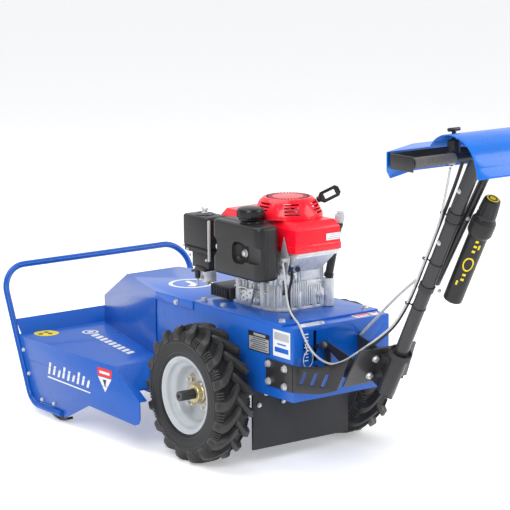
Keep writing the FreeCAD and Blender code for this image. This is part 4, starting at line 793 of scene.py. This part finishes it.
def make_crankcase():
    """Cast base with its cut corner, ribs, bosses, bolts and the raised rear panel."""
    plan = [(57, -97), (57, 97), (-104, 97), (-140, 84), (-158, 56), (-160, -97)]
    base = Piece().prism([(x, y, 444) for x, y in plan], (0, 0, 9))
    base.prism([(51, -86, 450), (51, 88, 450), (-100, 88, 450), (-134, 76, 450), (-152, 50, 450),
                (-153, -86, 450)], (0, 0, 74))
    base.rod((-160, -92, 445), (-160, -92, 528), 16, sides=40)
    case = base.make("crankcase", CAST, "cast_aluminium", 1.6, 3, replaces=["engine_base"])
    carve(case, cutter(Piece().rod((-160, -92, 500), (-160, -92, 540), 9, sides=32)),
          cutter(Piece().rod((-80, 0, 440), (-80, 0, 530), 13, sides=32)))
    tops, feet = ((-134, 72), (-84, 92), (-30, 92), (36, 90)), (16, -40, -68)
    sides = ((-68, 470), (8, 478))
    cast = Piece()
    for number in range(14):
        y = -62 + 8.2 * number
        high = 529 if number > 5 else 514
        cast.box((-163, y, 458), (-150, y + 3.4, high))
    for number in range(3):
        x, y = -147 + 16 * number, 71 + 11 * number
        cast.prism([(x, y, 460), (x - 4, y + 4, 460), (x - 1, y + 7, 460), (x + 3, y + 3, 460)],
                   (0, 0, 62))
    for number in range(12):
        x = -96 + 12.5 * number
        cast.box((x, 86, 456), (x + 3.6, 97, 490))
        if number % 3:
            cast.box((x, 86, 500), (x + 5, 96, 520))
    for low, high in (((-104, 84, 492), (55, 95, 497)), ((-156, -90, 519), (54, 52, 527)),
                      ((-152, -79, 527), (-60, -60, 606)), ((-154, -66, 532), (-149, 6, 606)),
                      ((-156, -58, 540), (-150, 0, 600))):
        cast.box(low, high)
    for y in (-77, -71, 12, 22, 32, 44, 54):
        cast.box((-156, y, 529), (-149, y + 3.6, 606))
    for x in (-128, -104, -80, -56, -32):
        cast.box((x, 65, 527), (x + 4, 76, 606))
    for x, y in tops:
        cast.rod((x, y, 448), (x, y, 525), 9, sides=24)
    for y in feet:
        cast.rod((-156, y, 450), (-156, y, 500), 8.5, sides=24)
    for x, z in sides:
        cast.rod((x, 94, z), (x, 108, z), 11, 9.5, 28)
    cast.rod((-158, -54, 486), (-176, -54, 486), 11, 9, 28)
    cast.rod((-150, 40, 548), (-168, 40, 548), 13, 11, 28)
    cast.rod((-58, 92, 534), (-58, 118, 534), 17, 14, 32)
    cast.rod((-10, 92, 530), (-10, 112, 530), 12, 9, 28)
    cast.box((-164, 52, 527), (-146, 84, 552))
    cast.box((-110, 70, 552), (-70, 96, 604))
    cast.box((-60, 70, 526), (30, 98, 538))
    cast.rod((-120, 86, 524), (-120, 86, 596), 9, sides=20)
    cast.rod((-142, 88, 524), (-142, 88, 566), 6, sides=20)
    cast.make("crankcase_ribs", CAST, "cast_aluminium", 1.0, 2)
    bolts = Piece()
    for x, y in tops:
        bolts.bolt((x, y, 525), UP, 5)
    for y in feet:
        bolts.bolt((-156, y, 500), UP, 4.6)
    for x, z in sides:
        bolts.bolt((x, 108, z), LEFT, 5)
    bolts.bolt((-58, 118, 534), LEFT, 7)
    bolts.bolt((-10, 112, 530), LEFT, 5)
    bolts.bolt((-176, -54, 486), FORWARD * -1, 5)
    bolts.bolt((-168, 40, 548), FORWARD * -1, 6)
    for y in (-70, 70):
        bolts.bolt((-216, y, 618), (0, 0, -1), 4.5)
    bolts.make("crankcase_bolts", BRIGHT, "steel", 0.5)


def make_linkage():
    """Governor spring and links, and the breather's knobs and hoses."""
    spring = Piece()
    for number in range(9):
        z = 556 + 3.4 * number
        spring.turned((-138, 104, z), (0.15, 0, 1), [(3.2, 0), (4.6, 0.9), (3.2, 1.8), (3.2, 0)],
                      16)
    spring.rod((-138, 104, 536), (-138, 104, 557), 1.2)
    spring.rod((-138, 104, 586), (-134, 104, 610), 1.2)
    spring.rod((-176, 93, 590), (-96, 103, 612), 1.5)
    spring.rod((-120, 102, 540), (-60, 108, 552), 1.5)
    spring.make("governor_links", BRIGHT, "steel")
    knobs = Piece()
    knobs.turned((-176, 66, 578), (-0.8, 0.6, 0), [(0, -10), (9, -10), (12, -6), (12, 5),
                                                   (9, 8), (0, 9)], 32)
    knobs.turned((-192, 47, 575), (-0.8, 0.6, 0), [(0, -6), (6, -6), (8, -4), (8, 4), (6, 6),
                                                   (0, 6)], 28)
    knobs.make("breather_knobs", NAVY, "black_plastic", 0.8, 3)
    hoses = Piece()
    for places in (((-168, 74, 572), (-172, 80, 545), (-176, 82, 520), (-172, 84, 500)),
                   ((-184, 60, 570), (-186, 66, 540), (-182, 72, 510), (-180, 70, 480)),
                   ((-180, 70, 480), (-200, 82, 462), (-228, 94, 449))):
        for start, end in zip(places, places[1:]):
            hoses.rod(start, end, 4.2, sides=16)
    hoses.rod((-222, 92, 454), (-238, 100, 446), 7, 6, 20)
    hoses.make("breather_hoses", GLOSS_PLASTIC, "rubber", 0.8)


def make_control_plate():
    """Drilled plate on the crankcase, the pointed lever and the cable's clamp."""
    corners = ((28, 455), (-4, 492), (-59, 505), (-43, 455))
    panel = Piece().prism([(x, 104, z) for x, z in corners], (0, 4, 0))
    plate = panel.make("control_plate", BRIGHT, "steel", 0.8,
                       replaces=["control_bracket"])
    holes = []
    for x, z, radius in ((6, 463, 3), (-10, 470, 3), (-26, 478, 3), (-42, 488, 3.5), (-8, 484, 2.5),
                         (-26, 463, 4), (-42, 470, 2.5), (-24, 492, 2.5)):
        holes.append(cutter(Piece().rod((x, 90, z), (x, 120, z), radius, sides=20)))
    carve(plate, *holes)
    lever = Piece()
    outline = ((-183, 673), (-171, 630), (-165, 600), (-163, 545), (-186, 545), (-198, 574),
               (-206, 600), (-208, 616), (-198, 632))
    lever.prism([(x, 88, z) for x, z in outline], (0, 3, 0))
    lever.box((-172, 66, 545), (-150, 89, 560))
    lever.rod((-192, 86, 606), (-192, 106, 606), 7, sides=24)
    lever.rod((-178, 86, 574), (-178, 98, 574), 5, sides=6)
    lever.make("control_lever", BRIGHT, "steel", 0.8)


def make_guard_bars():
    """Cross bars of the muffler's grille and its dark silencer end."""
    bars = Piece()
    for z in (459, 466, 473, 479):
        bars.box((62, 104.6, z), (158, 106.4, z + 1.6))
    for number in range(9):
        y = -70 + 19 * number
        bars.box((158.4, y, 455), (160.4, y + 3, 482))
    bars.make("muffler_bars", BLACK_PAINT, "dark_steel", 0.4)


def make_filler_boot():
    """Rubber sleeve low on the filler tube and the tube's support clip."""
    neck, mouth = Vector((-160, -92, 531.5)), Vector((-197, -101, 698))
    way = (mouth - neck).normalized()
    sleeve = Piece()
    sleeve.rod(neck + way * 1, neck + way * 12, 15, 14, 28)
    sleeve.rod(mouth - way * 14, mouth - way * 2, 14, 14, 28)
    sleeve.make("filler_rings", GLOSS_PLASTIC, "black_plastic", 0.8)
    clip = Piece()
    clip.box((-204, -86, 630), (-180, -80, 640))
    clip.make("filler_clip", BRIGHT, "steel", 0.5)


make_shroud()
make_recoil_details()
make_tank()
make_fuel_cap()
make_air_cleaner()
make_crankcase()
make_linkage()
make_control_plate()
make_guard_bars()
make_filler_boot()


# ---------------------------------------------------------------- labels and trim
# faces that carry printed patches: the chassis's and the deck's left side, and their tops
CHASSIS_SIDE, DECK_SIDE, CHASSIS_TOP, DECK_TOP = 176, 359, 438, 237.7


def sticker(name, material, normal, *patches, lift=0.25):
    """Plain printed patches on one flat face, one material."""
    sheet = Piece()
    for corners in patches:
        sheet.label(corners, normal, lift)
    sheet.make(name, material, "blue_paint")


def upright(x_rear, x_front, z_low, z_high):
    """Rectangle on the chassis's left side."""
    return [(x, CHASSIS_SIDE, z) for x, z in ((x_rear, z_low), (x_front, z_low),
                                              (x_front, z_high), (x_rear, z_high))]


def on_deck_side(*corners):
    return [(x, DECK_SIDE, z) for x, z in corners]


def on_chassis_top(*corners):
    return [(x, y, CHASSIS_TOP) for x, y in corners]


def make_side_labels():
    """Generic plates and patches on the chassis's left side."""
    sticker("data_plate_frame", INK, LEFT, upright(-226, -124, 345, 403))
    sticker("data_plate", SILVER, LEFT, upright(-222, -128, 349, 388), lift=0.5)
    rows = [upright(-216 + 9 * (n % 2), -134 - 7 * (n % 3), 353 + 6 * n, 355.2 + 6 * n)
            for n in range(6)]
    sticker("data_plate_lines", INK, LEFT, *rows, lift=0.75)
    sticker("data_plate_header", SILVER, LEFT, upright(-206, -150, 392, 399), lift=0.5)
    sticker("maker_patch", WHITE, LEFT, upright(-323, -243, 349, 426))
    sticker("maker_patch_bars", BLUE, LEFT, upright(-315, -251, 362, 376),
            upright(-303, -263, 384, 388), lift=0.5)
    sticker("maker_patch_block", SILVER, LEFT, upright(-317, -249, 397, 419), lift=0.5)


def make_top_labels():
    """Generic patches on the chassis's rear top and the two deck marks."""
    sticker("top_patch_left", WHITE, UP,
            on_chassis_top((-291, 118), (-326, 140), (-326, 54), (-291, 34)))
    sticker("top_patch_left_lines", SILVER, UP,
            on_chassis_top((-296, 108), (-304, 112), (-304, 50), (-296, 46)),
            on_chassis_top((-310, 112), (-320, 118), (-320, 66), (-310, 60)), lift=0.5)
    sticker("top_patch_right", WHITE, UP,
            on_chassis_top((-291, -70), (-326, -66), (-326, -146), (-291, -166)))
    sticker("top_patch_right_red", LABEL_RED, UP,
            on_chassis_top((-294, -76), (-303, -74), (-303, -156), (-294, -160)),
            on_chassis_top((-311, -74), (-316, -74), (-316, -110), (-311, -110)), lift=0.5)
    mark = Piece()
    mark.hoop((372, 29, 441.2), UP, 58, 70, 0, 0.5, 72)
    arrow = ((328, 44), (356, 18), (414, 10), (408, 28), (362, 34), (346, 62))
    mark.prism([(x, y, 441.2) for x, y in arrow], (0, 0, 0.5))
    mark.make("cover_mark", WHITE, "blue_paint")
    sweep = Piece()
    sweep.hoop((756, 158, DECK_TOP), UP, 20, 27, 0, 0.5, 40)
    sweep.disc((756, 158, DECK_TOP), UP, 11, 0, 0.5)
    for number in range(9):
        near, far, y = 722 - 34 * number, 700 - 34 * number, 152 + 6 * number
        corners = ((near, y), (far, y + 4), (far - 9, y + 36), (near - 9, y + 32))
        sweep.prism([(x, y, DECK_TOP) for x, y in corners], (0, 0, 0.5))
    sweep.make("deck_mark", WHITE, "blue_paint")
    caution = Piece()
    caution.disc((828, 279, DECK_TOP), UP, 40, 0, 0.5, 40)
    caution.make("deck_caution", YELLOW, "blue_paint")
    dots = Piece()
    for x, y in ((828, 300), (840, 272), (816, 272)):
        dots.disc((x, y, DECK_TOP + 0.6), UP, 8, 0, 0.4)
    dots.make("deck_caution_marks", INK, "blue_paint")


def make_deck_side_labels():
    """Slanted brush strokes and the warning triangle on the left side plate, without text."""
    strokes = []
    for number in range(9):
        x, low, high = 692 - 28 * number, 143 + 2 * (number % 2), 182 - 7 * (number % 3)
        strokes.append(on_deck_side((x, low), (x - 12, low), (x - 22, high), (x - 10, high)))
    strokes.append(on_deck_side((694, 131), (446, 127), (446, 131), (694, 136)))
    sticker("side_strokes", WHITE, LEFT, *strokes)
    sticker("side_warning_band", LABEL_RED, LEFT,
            on_deck_side((404, 220), (322, 222), (325, 196), (402, 194)))
    sticker("side_warning_band_mark", WHITE, LEFT,
            on_deck_side((392, 211), (336, 212), (336, 204), (392, 203)), lift=0.5)
    sticker("side_warning", WHITE, LEFT,
            on_deck_side((401, 192), (326, 194), (362, 148)))
    sticker("side_warning_mark", INK, LEFT,
            on_deck_side((374, 186), (354, 187), (361, 162)), lift=0.5)
    fold = Piece().box((202, DECK_SIDE - 0.4, 165.4), (827, DECK_SIDE + 0.8, 166.8))
    fold.make("side_fold", BLUE, "blue_paint", 0.4)


def make_rear_marks():
    """Depth scale, ball chain with its wire ring, zip tie and extra flap bolts."""
    scale = Piece()
    for number in range(9):
        z = 341 + 9.6 * number
        long = 14 if number % 2 == 0 else 8
        scale.prism([(-336.2, 122, z), (-336.2, 122 + long, z), (-336.2, 122 + long, z + 3),
                     (-336.2, 122, z + 3)], (-0.4, 0, 0))
    scale.make("depth_scale", WHITE, "blue_paint")
    chain = Piece()
    for number in range(11):
        share = number / 10
        place = Vector((-338.5 - 13 * share, 135 - 2 * share, 392 - 17 * share
                        - 6 * math.sin(math.pi * share)))
        chain.turned(place, UP, [(0, -1.7), (1.3, -1.1), (1.8, 0), (1.3, 1.1), (0, 1.7)], 10)
    centre = Vector((-350, 133, 350))
    ring = [centre + Vector((-0.3 * math.sin(a), 0.95 * math.sin(a), math.cos(a))) * 24
            for a in (2 * math.pi * k / 36 for k in range(37))]
    for start, end in zip(ring, ring[1:]):
        chain.rod(start, end, 1.3, sides=8)
    chain.make("pin_chain", BRIGHT, "steel")
    tie = Piece()
    tie.rod((-378, 48, 326), (-378, 44, 309), 1.6, sides=8)
    tie.box((-382, 46, 322), (-372, 54, 331))
    tie.make("zip_tie", WHITE, "cable_grey", 0.5)
    bolts = Piece()
    for y, z in ((158, 179), (70, 178)):
        bolts.bolt((-150.4, y, z), FORWARD * -1, 5)
    bolts.make("flap_bolts", BRIGHT, "steel", 0.5)


def make_holder_marks():
    """Yellow ring and strokes on the manual holder, its ribbed lid, neck and screws."""
    out, y_middle, low, radius = -48, -62, 356, 27
    facing = math.radians(140)
    marks = Piece()

    def spot(turn, up, reach):
        """Place on the holder's wall, turned from its outward direction."""
        angle = facing + turn
        return column(out + reach * math.cos(angle), y_middle + reach * math.sin(angle), up)

    def patch(turn_low, turn_high, up_low, up_high):
        steps = 4
        turns = [turn_low + (turn_high - turn_low) * k / steps for k in range(steps + 1)]
        for a, b in zip(turns, turns[1:]):
            corners = [spot(a, up_low, radius + 0.2), spot(b, up_low, radius + 0.2),
                       spot(b, up_high, radius + 0.2), spot(a, up_high, radius + 0.2)]
            way = spot((a + b) / 2, up_low, 1) - spot((a + b) / 2, up_low, 0)
            marks.prism(corners, way * 0.4)

    for angle in around(24):
        wide, tall = math.cos(angle) * 0.48, math.sin(angle) * 20
        patch(wide - 0.07, wide + 0.07, low + 132 + tall - 2.4, low + 132 + tall + 2.4)
    for up in (78, 94, 172, 188, 204):
        patch(-0.16, 0.16, low + up, low + up + 7)
    patch(-0.5, -0.3, low + 60, low + 74)
    patch(0.3, 0.5, low + 184, low + 198)
    marks.make("holder_marks", YELLOW, "black_plastic")
    cap_low = low + 276 + 0.4
    seat, top = column(out, y_middle, cap_low), column(out, y_middle, cap_low + 58)
    lid = Piece()
    lid.turned(seat, SHAFT, [(24, 0), (27.5, 0), (27.5, 7), (25.5, 11), (23.5, 50), (21.5, 56),
                             (18, 58), (0, 58), (0, 40), (22, 40), (24, 0)], 48)
    for angle in around(12):
        foot, head = [column(out + reach * math.cos(angle), y_middle + reach * math.sin(angle),
                             cap_low + up) for reach, up in ((25.6, 12), (23, 50))]
        lid.rod(foot, head, 1.8, 1.2, 8)
    lid_body = BODY_OF["canister_cap"]
    lid.make("holder_lid", PLASTIC, "black_plastic", 0.6, body=lid_body,
             replaces=["canister_cap"])
    neck = Piece()
    neck.turned(column(out, y_middle, low + 212), SHAFT,
                [(26, 0), (27, 0), (34, 12), (34.6, 16), (34.6, 44), (33, 52), (28.4, 60),
                 (27.2, 63.4), (23.4, 63.4), (23.4, 20), (26, 20), (26, 0)], 56)
    neck.make("holder_neck", PLASTIC, "black_plastic", 0.6)
    clips = Piece()
    for up in (low + 12, low + 255):
        clips.bolt(column(-22, -27, up), OUT * -1, 4.5)
    clips.make("holder_screws", BRIGHT, "steel", 0.4)
    disc = Piece()
    disc.disc(top, SHAFT, 17.5, 0.1, 0.8, 32)
    disc.make("holder_lid_disc", YELLOW, "black_plastic", body=lid_body)
    mark = Piece()
    mark.hoop(top, SHAFT, 9, 13, 1.0, 1.4, 32)
    mark.make("holder_lid_mark", INK, "black_plastic", body=lid_body)


def make_column_trim():
    """Ties that hold the cables to the column, and the column's two joint bolts."""
    ties = Piece()
    for up in (300, 452, 604):
        for out, y, inner, outer, sides in ((0, 0, 19.7, 20.9, 40), (24, 25, 5, 6.4, 20)):
            ties.turned(column(out, y, up), SHAFT, [(inner, -2.2), (outer, -2), (outer, 2),
                                                    (inner, 2.2), (inner, -2.2)], sides)
        ties.prism([column(12, 13, up - 2), column(20, 20, up - 2), column(19, 21, up - 2),
                    column(11, 16, up - 2)], SHAFT * 4)
    ties.make("cable_ties", GLOSS_PLASTIC, "rubber", 0.3)
    bolts = Piece()
    for up in (520, 690):
        bolts.bolt(column(0, 19.6, up), LEFT, 5)
    bolts.make("column_bolts", BRIGHT, "steel", 0.5)


make_column_trim()
make_side_labels()
make_top_labels()
make_deck_side_labels()
make_rear_marks()
make_holder_marks()


# ---------------------------------------------------------------- stage
def make_stage():
    bpy.ops.mesh.primitive_plane_add(size=60, location=(0, 0, -0.0005))
    floor = bpy.context.object
    floor.name = "floor"
    white = surface("studio_floor", (0.9, 0.9, 0.9), 0.6, spread=0.01)
    glow = white.node_tree.nodes["Principled BSDF"]
    socket(glow, "Emission Color", (1, 1, 1, 1))
    socket(glow, "Emission Strength", 0.35)
    floor.data.materials.append(white)
    world = bpy.data.worlds.new("studio")
    bpy.context.scene.world = world
    world.use_nodes = True
    background = world.node_tree.nodes["Background"]
    place = world.node_tree.nodes.new("ShaderNodeTexCoord")
    split = world.node_tree.nodes.new("ShaderNodeVectorMath")
    split.operation = "DOT_PRODUCT"
    split.inputs[1].default_value = (0.78, -0.6, 0.15)
    shade = world.node_tree.nodes.new("ShaderNodeMapRange")
    socket(shade, "From Min", -0.6)
    socket(shade, "From Max", 0.7)
    socket(shade, "To Min", 0.16)
    socket(shade, "To Max", 0.98)
    links = world.node_tree.links
    links.new(place.outputs["Generated"], split.inputs[0])
    links.new(split.outputs["Value"], shade.inputs["Value"])
    links.new(shade.outputs["Result"], background.inputs["Strength"])
    background.inputs["Color"].default_value = (0.97, 0.98, 1.0, 1)
    middle = (cad_low + cad_high) / 2
    for name, place, wide, power in (("key", (-3.0, 4.2, 4.2), 3.0, 210),
                                     ("fill", (-3.5, -3.5, 2.6), 3.0, 120),
                                     ("top", (1.2, 1.0, 4.8), 3.5, 110)):
        data = bpy.data.lights.new(name, "AREA")
        data.size = wide
        data.energy = power
        lamp = linked(name, data)
        lamp.location = place
        lamp.rotation_mode = "QUATERNION"
        lamp.rotation_quaternion = (middle - Vector(place)).to_track_quat("-Z", "Y")
    bpy.context.scene.view_settings.view_transform = "Standard"


make_stage()
